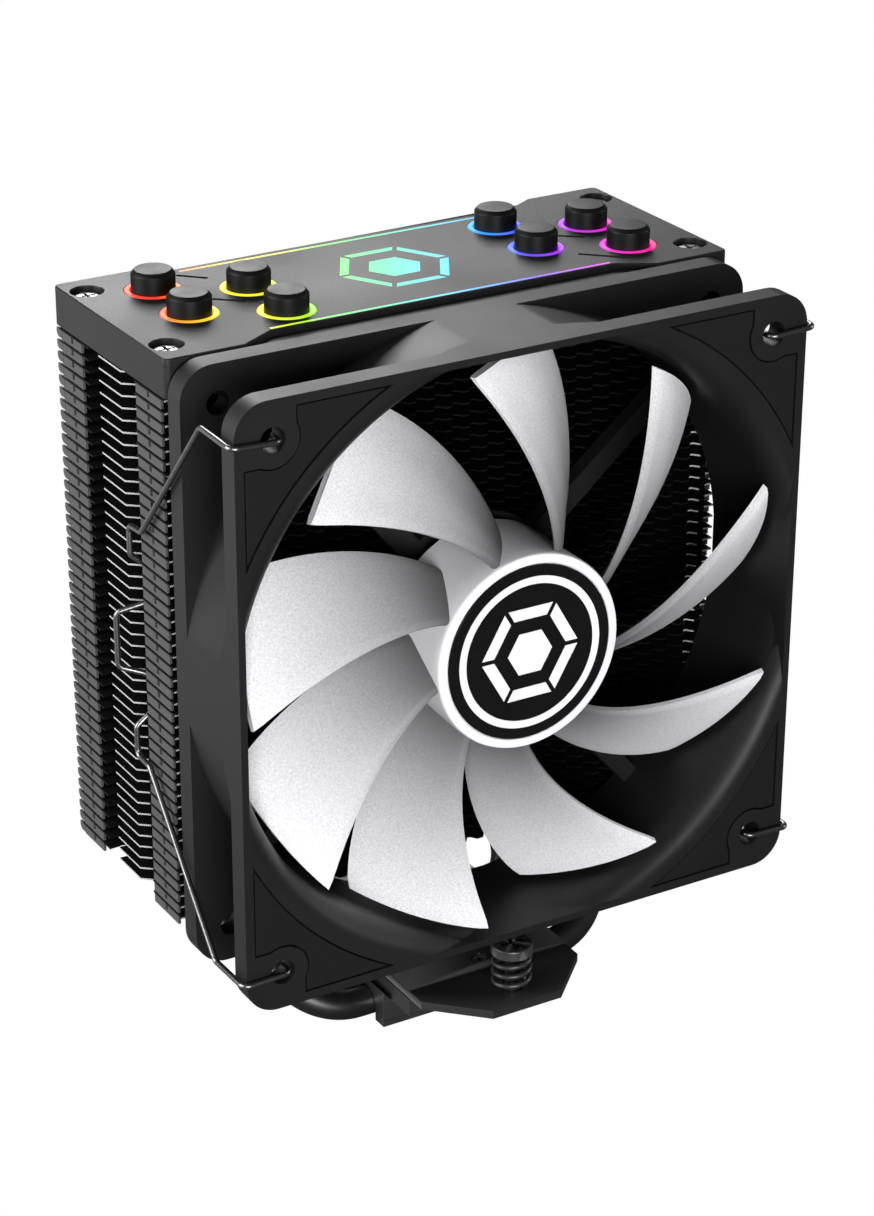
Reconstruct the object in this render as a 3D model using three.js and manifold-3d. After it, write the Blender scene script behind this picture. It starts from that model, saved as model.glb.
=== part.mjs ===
// A tower cooler for a processor: a cold plate with four heat pipes, a stack of fins, a lit
// cover over the pipe ends, and a 120 mm fan that two wire clips hold against the fins.
// Millimetres, +Z up. The origin is the centre of the cold plate's underside, and +Y runs
// from the fan to the back.
import * as THREE from "three";
import { mergeVertices } from "three/addons/utils/BufferGeometryUtils.js";
import Module from "manifold-3d";

const wasm = await Module();
wasm.setup();

// ---- Driving dimensions ----
const GAP = 0.3; // between fixed neighbours that touch on the real object
const STACK_Y = 10.2; // middle of the fin stack and the cover, front to back

const PLATE = {
  halfWidth: 19.7,
  halfDepth: 18.6,
  height: 5.8,
  lipTop: 7.8, // thin ridge along the left and right edges
  shoulderHalfWidth: 18,
  shoulderHalfDepth: 25.6,
  shoulderTop: 9.6,
};

const PIPE = { radius: 3, sides: 8, axisZ: 3, top: 148.5, bendSteps: 5 };
// Each pipe is a U: its place under the cold plate, how wide it stands, and where its legs rise.
const PIPES = [
  { baseY: -12, left: [-45.1, 6.7], right: [45.3, -0.75], wide: true },
  { baseY: -4, left: [-29.1, -0.75], right: [29.1, 6.7], wide: false },
  { baseY: 4, left: [-45.1, 21.55], right: [45.3, 14.1], wide: true },
  { baseY: 12, left: [-29.1, 14.1], right: [29.1, 21.55], wide: false },
];
const LEGS = PIPES.flatMap((pipe) => [pipe.left, pipe.right]);
const WIDE_BEND = { cornerX: 30, kneeZ: 21, radius: 14 };
const NARROW_BEND = { kneeZ: 28, radius: 9 };

const FINS = {
  halfWidth: 59.8,
  front: -13.4,
  back: 33.3,
  first: 33.1,
  pitch: 2.375,
  count: 45,
  drawn: 11, // evenly spaced plates that stand for all the fins
  thickness: 0.4,
  holeRadius: 4.8,
  tabThickness: 0.6,
};

const COVER = {
  halfWidth: 60,
  front: -13.1,
  back: 33.5,
  bottom: 138.3,
  shelf: 144.7, // the step in front of and behind the raised middle
  top: 146,
  wall: 1.8,
  ceiling: 143.2,
  raisedHalfDepth: 19.1,
  raisedHalfWidth: 36.6,
  wingX: 44, // where the raised part reaches its full depth
  screwX: 56.1,
  screwY: 16.5,
  screwMiddle: 10.4,
  bossRadius: 2.1,
  wellRadius: 3.1,
  wellFloor: 143.9,
  screwHoleRadius: 1.5,
  lightHoleRadius: 5.6,
};
const CAP = { radius: 4.17, bore: 3.3, bottom: 142.6, top: 150.1, chamfer: 0.8, roof: 1.2 };
const COVER_SCREW = { shank: 1.2, tip: 139, head: 2.4, headBottom: 144.2, headTop: 145.1 };
const LIGHT = {
  halfWidth: 51,
  halfDepth: 20.4,
  sheetTop: 142.3,
  sheetThickness: 0.8,
  boardBottom: 140.2,
  boardTop: 141.2,
  pipeHole: 3.6,
  ringOuter: 5.3,
  ringInner: 4.55,
  stripInset: 1.1, // from the edge of the cover's raised middle
};
const EMBLEM = { y: 10.5, outer: 11.9, inner: 9.7, bridge: 1.2, centre: 4.2 };

const FAN = {
  half: 60,
  front: -39,
  back: -14,
  axisZ: 85.8,
  flange: 4.6,
  cornerRadius: 6.5,
  holeAt: 52.5,
  holeRadius: 2.3,
  bore: 58.9,
  barrel: 60.6,
  mouth: 62.9,
  mouthClip: 58.6, // the mouth is cut flat just inside the four sides
  mouthDepth: 6.6,
  sides: 40,
};
const PAD = { edge: 57.9, arc: 65.2, boss: 5.5, armEnd: 4.9, thickness: 1 };
const HUB = { radius: 19.5, wall: 1.2, back: -20.5 };
const SEAT = { radius: 20, front: -17.5, back: -14.6, tube: 5.2, tubeBore: 3.9, tubeFront: -28 };
const STRUT = { halfWidth: 2.1, front: -18, firstAngle: 40 };
// Rings round the fan's axis: inner radius, outer radius, front and back.
const MOTOR = {
  sleeve: [1.6, 3.6, -31, -16.6],
  stator: [5.5, 14.4, -34, -23],
  board: [5.5, 17, -19.4, -18.3],
  yoke: [17.2, 18, -37.2, -21.5],
  magnets: [14.9, 16.9, -35.5, -22],
};
const SHAFT = { radius: 1.5, front: -36.9, back: -15, groove: [-16.2, -15.5], grooveRadius: 1.2 };
const SHAFT_CLIP = { outer: 2.7, inner: 1.35, gapAngle: 25, front: -16.1, back: -15.6 };
const BLADES = { count: 9, root: 18.9, tip: 57.3, thickness: 1.7, taper: 0.9, camber: 0.35 };

const BRACKET = {
  halfWidth: 18,
  shoulderY: 30.4, // where the hexagonal ears begin
  tipHalfWidth: 7.75,
  tipY: 40.4,
  bottom: 9.9,
  top: 11.6,
  raisedY: 25.9,
  raisedTop: 12,
  springScrewY: 34.4,
  earHoleRadius: 2.1,
  fixingY: 22.4,
  fixingHoleRadius: 1.7,
};
const SPRING = { meanRadius: 3.48, wireRadius: 0.55, turns: 3, stepsPerTurn: 12, sides: 6 };
const SPRING_SCREW = { shank: 1.7, tip: 7.6, head: 4.15, headBottom: 19.56, headTop: 21.8 };
const RETAINER = [1.95, 3.2, 8.6, 9.3]; // inner radius, outer radius, bottom and top
const FIXING_SCREW = { shank: 1, tip: 6.4, head: 1.4, headBottom: 10.2, headTop: 11.7 };
const WIRE = { radius: 0.575, sides: 6, bend: 1.6 };

// ---- Materials ----
const look = (color, roughness, metalness = 0) =>
  new THREE.MeshStandardMaterial({ color, roughness, metalness });
const BLACK_METAL = look(0x17181b, 0.45, 0.6);
const ALUMINIUM = look(0xa9abad, 0.4, 0.9);
const STEEL = look(0xc9cacc, 0.25, 1);
const DARK_PLASTIC = look(0x1b1b1d, 0.6);
const COVER_PLASTIC = look(0x2b2c2f, 0.5);
const FROSTED_PLASTIC = look(0xe3e5e6, 0.45);
const RUBBER = look(0x121213, 0.85);
const LIGHT_PLASTIC = look(0x9fe8dd, 0.4);
const BOARD = look(0x1d4a33, 0.6);
const BRONZE = look(0xa8763f, 0.4, 0.9);
const FERRITE = look(0x2b2622, 0.8);

const cooler = new THREE.Group();

// ---- Solids ----

const MERGE_DISTANCE = 1e-4;

// A closed geometry as a solid that can be joined to another or cut by it.
function solidOf(geometry) {
  const loose = geometry.index ? geometry.toNonIndexed() : geometry;
  const bare = new THREE.BufferGeometry();
  bare.setAttribute("position", loose.getAttribute("position"));
  const merged = mergeVertices(bare, MERGE_DISTANCE);
  const corners = [];
  for (let i = 0; i < merged.index.count; i += 3) {
    const [a, b, c] = [0, 1, 2].map((k) => merged.index.getX(i + k));
    if (a !== b && b !== c && c !== a) corners.push(a, b, c);
  }
  const build = (triangles) =>
    new wasm.Manifold(
      new wasm.Mesh({
        numProp: 3,
        vertProperties: merged.attributes.position.array,
        triVerts: Uint32Array.from(triangles),
      }),
    );
  const made = build(corners);
  return made.volume() < 0 ? build(corners.reverse()) : made;
}

function geometryOf(solid) {
  const mesh = solid.getMesh();
  const geometry = new THREE.BufferGeometry();
  geometry.setAttribute("position", new THREE.BufferAttribute(mesh.vertProperties, 3));
  geometry.setIndex(new THREE.BufferAttribute(mesh.triVerts, 1));
  geometry.computeVertexNormals();
  return geometry;
}

function add(parent, name, solid, material, position = [0, 0, 0]) {
  const mesh = new THREE.Mesh(geometryOf(solid), material);
  mesh.name = name;
  mesh.position.set(...position);
  parent.add(mesh);
}

const joined = (solids) => solids.reduce((whole, next) => whole.add(next));
const cutBy = (solid, cutters) => cutters.reduce((rest, cutter) => rest.subtract(cutter), solid);

// ---- Outlines ----

const degrees = THREE.MathUtils.degToRad;

function arc(x, y, radius, from, to, steps) {
  return Array.from({ length: steps + 1 }, (_, i) => {
    const angle = degrees(from + ((to - from) * i) / steps);
    return new THREE.Vector2(x + radius * Math.cos(angle), y + radius * Math.sin(angle));
  });
}

const circle = (x, y, radius, sides, turn = 0) =>
  arc(x, y, radius, turn, turn + 360, sides).slice(0, sides);

const polygon = (points) => points.map(([x, y]) => new THREE.Vector2(x, y));

const rectangle = (x0, y0, x1, y1) => polygon([[x0, y0], [x1, y0], [x1, y1], [x0, y1]]);

const roundedRectangle = (x0, y0, x1, y1, r, steps) => [
  ...arc(x1 - r, y0 + r, r, 270, 360, steps),
  ...arc(x1 - r, y1 - r, r, 0, 90, steps),
  ...arc(x0 + r, y1 - r, r, 90, 180, steps),
  ...arc(x0 + r, y0 + r, r, 180, 270, steps),
];

// A slab of an outline given in X and Y.
function slabZ(points, z0, z1) {
  const shape = new THREE.Shape(points);
  const geometry = new THREE.ExtrudeGeometry(shape, { depth: z1 - z0, bevelEnabled: false });
  return solidOf(geometry.translate(0, 0, z0));
}

// A slab of an outline given in X and Z.
function slabY(points, y0, y1, turn = 0) {
  const shape = new THREE.Shape(points);
  const geometry = new THREE.ExtrudeGeometry(shape, { depth: y1 - y0, bevelEnabled: false });
  return solidOf(geometry.rotateX(Math.PI / 2).translate(0, y1, 0).rotateY(degrees(-turn)));
}

// A slab of an outline given in Y and Z.
function slabX(points, x0, x1) {
  const shape = new THREE.Shape(points);
  const geometry = new THREE.ExtrudeGeometry(shape, { depth: x1 - x0, bevelEnabled: false });
  return solidOf(geometry.rotateY(Math.PI / 2).rotateX(Math.PI / 2).translate(x0, 0, 0));
}

// A profile of [radius, height] points turned about the Y axis.
const turnedY = (profile, sides) => solidOf(new THREE.LatheGeometry(polygon(profile), sides));

// The same, turned about the Z axis.
const turnedZ = (profile, sides) =>
  solidOf(new THREE.LatheGeometry(polygon(profile), sides).rotateX(Math.PI / 2));

// A ring's closed profile between two radii and two heights.
const ring = (inner, outer, low, high) => [
  [inner, low], [outer, low], [outer, high], [inner, high], [inner, low],
];

const disc = (radius, low, high) => [[0, low], [radius, low], [radius, high], [0, high]];

// ---- Tubes along a route ----

// A route through stations that needn't be evenly spaced, with the route's direction at each.
class StationRoute extends THREE.Curve {
  constructor(stations) {
    super();
    this.stations = stations;
  }

  blend(t, key, target) {
    const along = t * (this.stations.length - 1);
    const index = Math.min(Math.floor(along), this.stations.length - 2);
    target.copy(this.stations[index][key]);
    return target.lerp(this.stations[index + 1][key], along - index);
  }

  getPoint(t, target = new THREE.Vector3()) {
    return this.blend(t, "point", target);
  }

  getTangent(t, target = new THREE.Vector3()) {
    return this.blend(t, "direction", target).normalize();
  }

  getUtoTmapping(u) {
    return u;
  }
}

// The stations of a route through corner points, with each inner corner rounded to an arc.
function bentRoute(corners, radii, steps) {
  const points = corners.map((corner) => new THREE.Vector3(...corner));
  const toward = (i) => points[i + 1].clone().sub(points[i]).normalize();
  const stations = [{ point: points[0], direction: toward(0) }];
  for (let i = 1; i < points.length - 1; i++) {
    const before = toward(i - 1);
    const after = toward(i);
    const angle = before.angleTo(after);
    const radius = radii[i - 1];
    const start = points[i].clone().addScaledVector(before, -radius * Math.tan(angle / 2));
    const inward = after.clone().addScaledVector(before, -after.dot(before)).normalize();
    const centre = start.clone().addScaledVector(inward, radius);
    for (let k = 0; k <= steps; k++) {
      const turn = (angle * k) / steps;
      const point = centre.clone().addScaledVector(inward, -radius * Math.cos(turn));
      point.addScaledVector(before, radius * Math.sin(turn));
      const direction = before.clone().multiplyScalar(Math.cos(turn));
      direction.addScaledVector(inward, Math.sin(turn));
      stations.push({ point, direction });
    }
  }
  stations.push({ point: points.at(-1), direction: toward(points.length - 2) });
  return new StationRoute(stations);
}

// A helix about the Z axis.
function coilRoute(radius, low, high, turns, stepsPerTurn) {
  const steps = turns * stepsPerTurn;
  const rise = (high - low) / (turns * 2 * Math.PI);
  const stations = Array.from({ length: steps + 1 }, (_, i) => {
    const angle = (2 * Math.PI * i) / stepsPerTurn;
    const point = new THREE.Vector3(
      radius * Math.cos(angle), radius * Math.sin(angle), low + rise * angle,
    );
    const direction = new THREE.Vector3(
      -radius * Math.sin(angle), radius * Math.cos(angle), rise,
    ).normalize();
    return { point, direction };
  });
  return new StationRoute(stations);
}

function tube(route, radius, sides) {
  const section = new THREE.Shape(circle(0, 0, radius, sides, 180 / sides));
  const steps = route.stations.length - 1;
  const options = { steps, extrudePath: route, bevelEnabled: false };
  return solidOf(new THREE.ExtrudeGeometry(section, options));
}

// ---- Cold plate and heat pipes ----

function coldPlate() {
  const w = PLATE.halfWidth;
  const s = PLATE.shoulderHalfWidth;
  const lower = slabY(
    polygon([
      [-w, 0], [w, 0], [w, PLATE.lipTop], [s, PLATE.height], [-s, PLATE.height], [-w, PLATE.lipTop],
    ]),
    -PLATE.halfDepth,
    PLATE.halfDepth,
  );
  const shoulder = slabZ(
    rectangle(-s, -PLATE.shoulderHalfDepth, s, PLATE.shoulderHalfDepth),
    PLATE.height - 1,
    PLATE.shoulderTop,
  );
  const overhang = [-1, 1].map((side) =>
    slabZ(
      rectangle(-s - 1, side * PLATE.halfDepth, s + 1, side * (PLATE.shoulderHalfDepth + 1)),
      PLATE.height - 2,
      PLATE.height,
    ),
  );
  const fit = PIPE.radius + GAP;
  const grooves = PIPES.map(({ baseY }) =>
    slabX(
      [
        new THREE.Vector2(baseY + fit, -1),
        ...arc(baseY, PIPE.axisZ, fit, 0, 180, 8),
        new THREE.Vector2(baseY - fit, -1),
      ],
      -w - 1,
      w + 1,
    ),
  );
  const screwHoles = [-1, 1].map((side) =>
    slabZ(circle(0, side * BRACKET.fixingY, 1.3, 10), PLATE.height - 1, PLATE.shoulderTop + 1),
  );
  return cutBy(lower.add(cutBy(shoulder, overhang)), [...grooves, ...screwHoles]);
}

function heatPipe({ baseY, left, right, wide }) {
  const bend = wide ? WIDE_BEND : NARROW_BEND;
  const cornerX = ([x]) => Math.sign(x) * (wide ? WIDE_BEND.cornerX : Math.abs(x));
  const corners = [
    [...left, PIPE.top],
    [...left, bend.kneeZ],
    [cornerX(left), baseY, PIPE.axisZ],
    [cornerX(right), baseY, PIPE.axisZ],
    [...right, bend.kneeZ],
    [...right, PIPE.top],
  ];
  const radii = corners.slice(1, -1).map(() => bend.radius);
  return tube(bentRoute(corners, radii, PIPE.bendSteps), PIPE.radius, PIPE.sides);
}

function addBase() {
  add(cooler, "base_block", coldPlate(), ALUMINIUM);
  PIPES.forEach((pipe, i) => add(cooler, `heat_pipe_${i + 1}`, heatPipe(pipe), BLACK_METAL));
}

// ---- Mounting bracket and its screws ----

function bracket() {
  const { halfWidth, shoulderY, tipHalfWidth, tipY, bottom, top, raisedTop, raisedY } = BRACKET;
  const ears = polygon([
    [-halfWidth, -shoulderY], [-tipHalfWidth, -tipY], [tipHalfWidth, -tipY],
    [halfWidth, -shoulderY], [halfWidth, shoulderY], [tipHalfWidth, tipY],
    [-tipHalfWidth, tipY], [-halfWidth, shoulderY],
  ]);
  const plate = slabZ(ears, bottom, top);
  const raised = slabZ(rectangle(-halfWidth, -raisedY, halfWidth, raisedY), top - 1, raisedTop);
  const holes = [-1, 1].flatMap((side) => [
    slabZ(circle(0, side * BRACKET.springScrewY, BRACKET.earHoleRadius, 16), 5, 15),
    slabZ(circle(0, side * BRACKET.fixingY, BRACKET.fixingHoleRadius, 12), 5, 15),
  ]);
  return cutBy(plate.add(raised), holes);
}

// Two crossed slots for a screwdriver, from a low to a high level.
const crossSlots = (length, width, low, high) => [
  slabZ(rectangle(-length / 2, -width / 2, length / 2, width / 2), low, high),
  slabZ(rectangle(-width / 2, -length / 2, width / 2, length / 2), low, high),
];

// A plain screw with a flat head.
function screw({ shank, tip, head, headBottom, headTop }, slotLength, slotWidth, slotDepth) {
  const body = turnedZ(
    [[0, tip], [shank, tip], [shank, headBottom], [head, headBottom], [head, headTop], [0, headTop]],
    12,
  );
  return cutBy(body, crossSlots(slotLength, slotWidth, headTop - slotDepth, headTop + 1));
}

function springScrew() {
  const { shank, tip, head, headBottom, headTop } = SPRING_SCREW;
  const body = turnedZ(
    [
      [0, tip], [shank - 0.4, tip], [shank, tip + 0.6], [shank, headBottom],
      [head, headBottom], [head, headTop - 0.4], [head - 0.4, headTop], [0, headTop],
    ],
    16,
  );
  return cutBy(body, crossSlots(5, 1, headTop - 1.2, headTop + 1));
}

function addMount() {
  add(cooler, "mounting_bracket", bracket(), BLACK_METAL);
  const coil = coilRoute(
    SPRING.meanRadius,
    BRACKET.top + GAP + SPRING.wireRadius,
    SPRING_SCREW.headBottom - GAP - SPRING.wireRadius,
    SPRING.turns,
    SPRING.stepsPerTurn,
  );
  for (const [where, side] of [["front", -1], ["back", 1]]) {
    const onScrew = [0, side * BRACKET.springScrewY, 0];
    const onFixing = [0, side * BRACKET.fixingY, 0];
    const fixing = screw(FIXING_SCREW, 1.6, 0.4, 0.6);
    add(cooler, `bracket_screw_${where}`, fixing, STEEL, onFixing);
    add(cooler, `spring_screw_${where}`, springScrew(), BLACK_METAL, onScrew);
    const spring = tube(coil, SPRING.wireRadius, SPRING.sides);
    add(cooler, `screw_spring_${where}`, spring, BLACK_METAL, onScrew);
    const retainer = turnedZ(ring(...RETAINER), 16);
    add(cooler, `retaining_ring_${where}`, retainer, STEEL, onScrew);
  }
}

// ---- Fin stack ----

// Cutters for the eight pipe legs through whatever lies between two levels.
const pipeHoles = (radius, sides, low, high) =>
  LEGS.map(([x, y]) => slabZ(circle(x, y, radius, sides), low - 1, high + 1));

// The right-hand edge of a fin from front to back: the groove for the clip, then a deep notch.
const FIN_EDGE = [
  [59.8, -0.1], [56.3, -0.1], [56.3, 2.6], [59.8, 5.6], [59.8, 14.9],
  [55.6, 15.4], [54.8, 17.1], [55.6, 18.9], [59.8, 19.4],
];
// The folded tabs that hold the fins apart stand on the side edges between these places.
const TAB_SPANS = [[-10.7, -0.6], [22.2, 31.6]];

function finStack() {
  const mirror = FIN_EDGE.map(([x, y]) => [-x, y]).reverse();
  const { halfWidth, front, back, first, pitch, count, drawn, thickness } = FINS;
  const edge = polygon([
    [-halfWidth, front], [halfWidth, front], ...FIN_EDGE, [halfWidth, back],
    [-halfWidth, back], ...mirror,
  ]);
  const top = first + (count - 1) * pitch;
  const plates = Array.from({ length: drawn }, (_, i) => {
    const z = first + ((top - first) * i) / (drawn - 1);
    return slabZ(edge, z, z + thickness);
  });
  const tabs = [-1, 1].flatMap((side) =>
    TAB_SPANS.map(([from, to]) =>
      slabZ(
        rectangle(side * (halfWidth - FINS.tabThickness), from, side * halfWidth, to),
        first,
        top + thickness,
      ),
    ),
  );
  return cutBy(joined([...plates, ...tabs]), pipeHoles(FINS.holeRadius, 4, first, top));
}

// ---- Cover with its lighting ----

// One side of the open hexagon in the cover's middle, drawn smaller by a margin.
function emblemBar(k, margin) {
  const corner = (radius, angle) =>
    new THREE.Vector2(Math.cos(degrees(angle)), Math.sin(degrees(angle))).multiplyScalar(radius);
  const [from, to] = [60 * k, 60 * (k + 1)];
  const outer = [corner(EMBLEM.outer - margin, from), corner(EMBLEM.outer - margin, to)];
  const inner = [corner(EMBLEM.inner + margin, from), corner(EMBLEM.inner + margin, to)];
  const along = outer[1].clone().sub(outer[0]).normalize();
  const end = EMBLEM.bridge / 2 + margin;
  return [
    outer[0].addScaledVector(along, end),
    outer[1].addScaledVector(along, -end),
    inner[1].addScaledVector(along, -end),
    inner[0].addScaledVector(along, end),
  ].map((point) => point.add(new THREE.Vector2(0, EMBLEM.y)));
}

// The emblem, between two levels and smaller by a margin: six bars round a hexagon.
function emblem(margin, low, high) {
  const bars = [0, 1, 2, 3, 4, 5].map((k) => slabZ(emblemBar(k, margin), low, high));
  return [...bars, slabZ(circle(0, EMBLEM.y, EMBLEM.centre - margin, 6), low, high)];
}

// The two lines of light along the front and back edges of the cover's raised middle.
function lightStrips(halfThickness, endMargin, low, high) {
  const x = COVER.raisedHalfWidth - endMargin;
  return [-1, 1].map((side) => {
    const y = STACK_Y + side * (COVER.raisedHalfDepth - LIGHT.stripInset);
    return slabZ(rectangle(-x, y - halfThickness, x, y + halfThickness), low, high);
  });
}

const screwPlaces = [-1, 1].flatMap((sx) =>
  [-1, 1].map((sy) => [sx * COVER.screwX, COVER.screwMiddle + sy * COVER.screwY]),
);

function coverShell() {
  const { halfWidth, front, back, bottom, shelf, top, wall, ceiling } = COVER;
  const body = slabZ(roundedRectangle(-halfWidth, front, halfWidth, back, 1.5, 2), bottom, shelf);
  const raisedFront = STACK_Y - COVER.raisedHalfDepth;
  const raisedBack = STACK_Y + COVER.raisedHalfDepth;
  const dogBone = polygon([
    [-halfWidth, front + 0.6], [-halfWidth + 0.6, front], [-COVER.wingX, front],
    [-COVER.raisedHalfWidth, raisedFront], [COVER.raisedHalfWidth, raisedFront],
    [COVER.wingX, front], [halfWidth - 0.6, front], [halfWidth, front + 0.6],
    [halfWidth, back - 0.6], [halfWidth - 0.6, back], [COVER.wingX, back],
    [COVER.raisedHalfWidth, raisedBack], [-COVER.raisedHalfWidth, raisedBack],
    [-COVER.wingX, back], [-halfWidth + 0.6, back], [-halfWidth, back - 0.6],
  ]);
  const raised = slabZ(dogBone, shelf - 1, top);
  const inside = rectangle(-halfWidth + wall, front + wall, halfWidth - wall, back - wall);
  return cutBy(body.add(raised), [
    slabZ(inside, bottom - 1, ceiling),
    ...LEGS.map(([x, y]) => slabZ(circle(x, y, COVER.lightHoleRadius, 12), ceiling - 1, top + 1)),
    ...screwPlaces.flatMap(([x, y]) => [
      slabZ(circle(x, y, COVER.wellRadius, 12), COVER.wellFloor, top + 1),
      slabZ(circle(x, y, COVER.screwHoleRadius, 8), ceiling - 1, top + 1),
    ]),
    ...lightStrips(0.7, 0, ceiling - 1, top + 1),
    ...emblem(0, ceiling - 1, top + 1),
  ]);
}

function coverTray() {
  const inset = COVER.wall + GAP;
  const plate = slabZ(
    rectangle(
      -COVER.halfWidth + inset, COVER.front + inset, COVER.halfWidth - inset, COVER.back - inset,
    ),
    COVER.bottom + GAP,
    COVER.bottom + GAP + 1,
  );
  const bosses = screwPlaces.map(([x, y]) =>
    slabZ(circle(x, y, COVER.bossRadius, 10), COVER.bottom + GAP, COVER.ceiling - GAP),
  );
  const bores = screwPlaces.map(([x, y]) =>
    slabZ(circle(x, y, COVER.screwHoleRadius, 8), COVER.bottom - 1, COVER.ceiling + 1),
  );
  const holes = pipeHoles(LIGHT.pipeHole, 8, COVER.bottom, COVER.bottom + 2);
  return cutBy(joined([plate, ...bosses]), [...bores, ...holes]);
}

function lightSheet(low, high) {
  const { halfWidth, halfDepth, pipeHole } = LIGHT;
  const sheet = rectangle(-halfWidth, STACK_Y - halfDepth, halfWidth, STACK_Y + halfDepth);
  return cutBy(slabZ(sheet, low, high), pipeHoles(pipeHole, 8, low, high));
}

function lightGuide() {
  const { sheetTop } = LIGHT;
  const shine = COVER.top - GAP;
  const rings = LEGS.map(([x, y]) =>
    slabZ(circle(x, y, LIGHT.ringOuter, 12), sheetTop - 0.4, shine).subtract(
      slabZ(circle(x, y, LIGHT.ringInner, 12), sheetTop - 1, shine + 1),
    ),
  );
  return joined([
    lightSheet(sheetTop - LIGHT.sheetThickness, sheetTop),
    ...rings,
    ...lightStrips(0.4, GAP, sheetTop - 0.4, shine),
    ...emblem(GAP, sheetTop - 0.4, shine),
  ]);
}

function pipeCap() {
  const { radius, bore, bottom, top, chamfer, roof } = CAP;
  return turnedZ(
    [
      [0, top], [radius - chamfer, top], [radius, top - chamfer], [radius, bottom],
      [bore, bottom], [bore, top - roof], [0, top - roof],
    ],
    12,
  );
}

function addCover() {
  add(cooler, "top_cover", coverShell(), COVER_PLASTIC);
  add(cooler, "cover_tray", coverTray(), DARK_PLASTIC);
  add(cooler, "light_board", lightSheet(LIGHT.boardBottom, LIGHT.boardTop), BOARD);
  add(cooler, "light_guide", lightGuide(), LIGHT_PLASTIC);
  screwPlaces.forEach(([x, y], i) =>
    add(cooler, `cover_screw_${i + 1}`, screw(COVER_SCREW, 2.6, 0.6, 0.5), STEEL, [x, y, 0]),
  );
  LEGS.forEach(([x, y], i) => add(cooler, `pipe_cap_${i + 1}`, pipeCap(), BLACK_METAL, [x, y, 0]));
}

// ---- Fan: everything here is drawn about the fan's axis ----

const fan = new THREE.Group();
fan.position.z = FAN.axisZ;
cooler.add(fan);

const CORNERS = [[-1, 1], [1, 1], [1, -1], [-1, -1]];
const mirrored = (points, [sx, sz]) => points.map((p) => new THREE.Vector2(p.x * sx, p.y * sz));

// A corner pad of the upper right corner: two arms along the edges that meet inside the screw
// boss. It is drawn larger by a margin for the recess that holds it.
function padOutline(margin) {
  const edge = PAD.edge + margin;
  const arcRadius = PAD.arc - margin;
  const boss = PAD.boss - margin;
  const armEnd = FAN.holeAt - PAD.armEnd + margin;
  const startAngle = THREE.MathUtils.radToDeg(Math.acos(edge / arcRadius));
  const bossAngle = THREE.MathUtils.radToDeg(Math.asin((FAN.holeAt - armEnd) / boss));
  return [
    new THREE.Vector2(edge, armEnd),
    ...arc(FAN.holeAt, FAN.holeAt, boss, 360 - bossAngle, 90 + bossAngle, 6),
    new THREE.Vector2(armEnd, edge),
    ...arc(0, 0, arcRadius, 90 - startAngle, startAngle, 5),
  ];
}

function fanFrame() {
  const { half, front, back, flange, bore, barrel, mouth, mouthDepth } = FAN;
  const square = roundedRectangle(-half, -half, half, half, FAN.cornerRadius, 4);
  const ducting = turnedY(
    [
      [0, front], [mouth + 1, front], [mouth - 0.6, front + flange],
      [barrel, front + flange + 3], [barrel, back], [0, back],
    ],
    FAN.sides,
  ).intersect(slabY(square, front, back));
  const hollow = turnedY(disc(bore, front - 1, back + 1), FAN.sides);
  const clip = FAN.mouthClip;
  const flare = turnedY(
    [[0, front - 1], [mouth, front - 1], [mouth, front], [bore, front + mouthDepth],
      [0, front + mouthDepth]],
    FAN.sides,
  ).intersect(slabY(rectangle(-clip, -clip, clip, clip), front - 2, back));
  const recesses = CORNERS.flatMap((corner) => {
    const recess = mirrored(padOutline(GAP), corner);
    return [
      slabY(recess, front - 1, front + PAD.thickness + GAP),
      slabY(recess, back - PAD.thickness - GAP, back + 1),
    ];
  });
  const screwHoles = CORNERS.map(([sx, sz]) =>
    slabY(circle(sx * FAN.holeAt, sz * FAN.holeAt, FAN.holeRadius, 12), front - 1, back + 1),
  );
  const cableOutlet = slabY(rectangle(20, -half - 1, 25, -half + 7), back - 3.2, back + 1);
  const shell = cutBy(
    joined([slabY(square, front, front + flange), slabY(square, back - flange, back), ducting]),
    [hollow, flare, ...recesses, ...screwHoles, cableOutlet],
  );
  return joined([shell, motorSeat(), ...struts()]);
}

function motorSeat() {
  const { radius, front, back, tube: outer, tubeBore, tubeFront } = SEAT;
  return turnedY(
    [
      [tubeBore, tubeFront], [outer, tubeFront], [outer, front], [radius, front],
      [radius, back], [tubeBore, back], [tubeBore, tubeFront],
    ],
    24,
  );
}

function struts() {
  const { halfWidth, front, firstAngle } = STRUT;
  const bar = rectangle(SEAT.radius - 6, -halfWidth, FAN.bore + 0.6, halfWidth);
  return [0, 1, 2, 3].map((k) => slabY(bar, front, SEAT.back, firstAngle + 90 * k));
}

function addFanFrame() {
  add(fan, "fan_frame", fanFrame(), DARK_PLASTIC);
  CORNERS.forEach((corner, i) => {
    const pad = mirrored(padOutline(0), corner);
    const frontPad = slabY(pad, FAN.front, FAN.front + PAD.thickness);
    const rearPad = slabY(pad, FAN.back - PAD.thickness, FAN.back);
    add(fan, `front_pad_${i + 1}`, frontPad, RUBBER);
    add(fan, `rear_pad_${i + 1}`, rearPad, RUBBER);
  });
  add(fan, "bearing_sleeve", turnedY(ring(...MOTOR.sleeve), 16), BRONZE);
  add(fan, "stator", turnedY(ring(...MOTOR.stator), 24), BRONZE);
  add(fan, "fan_board", turnedY(ring(...MOTOR.board), 24), BOARD);
}

// ---- Rotor ----

const cubic = ([a, b, c, d], s) => a + s * (b + s * (c + s * d));
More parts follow.
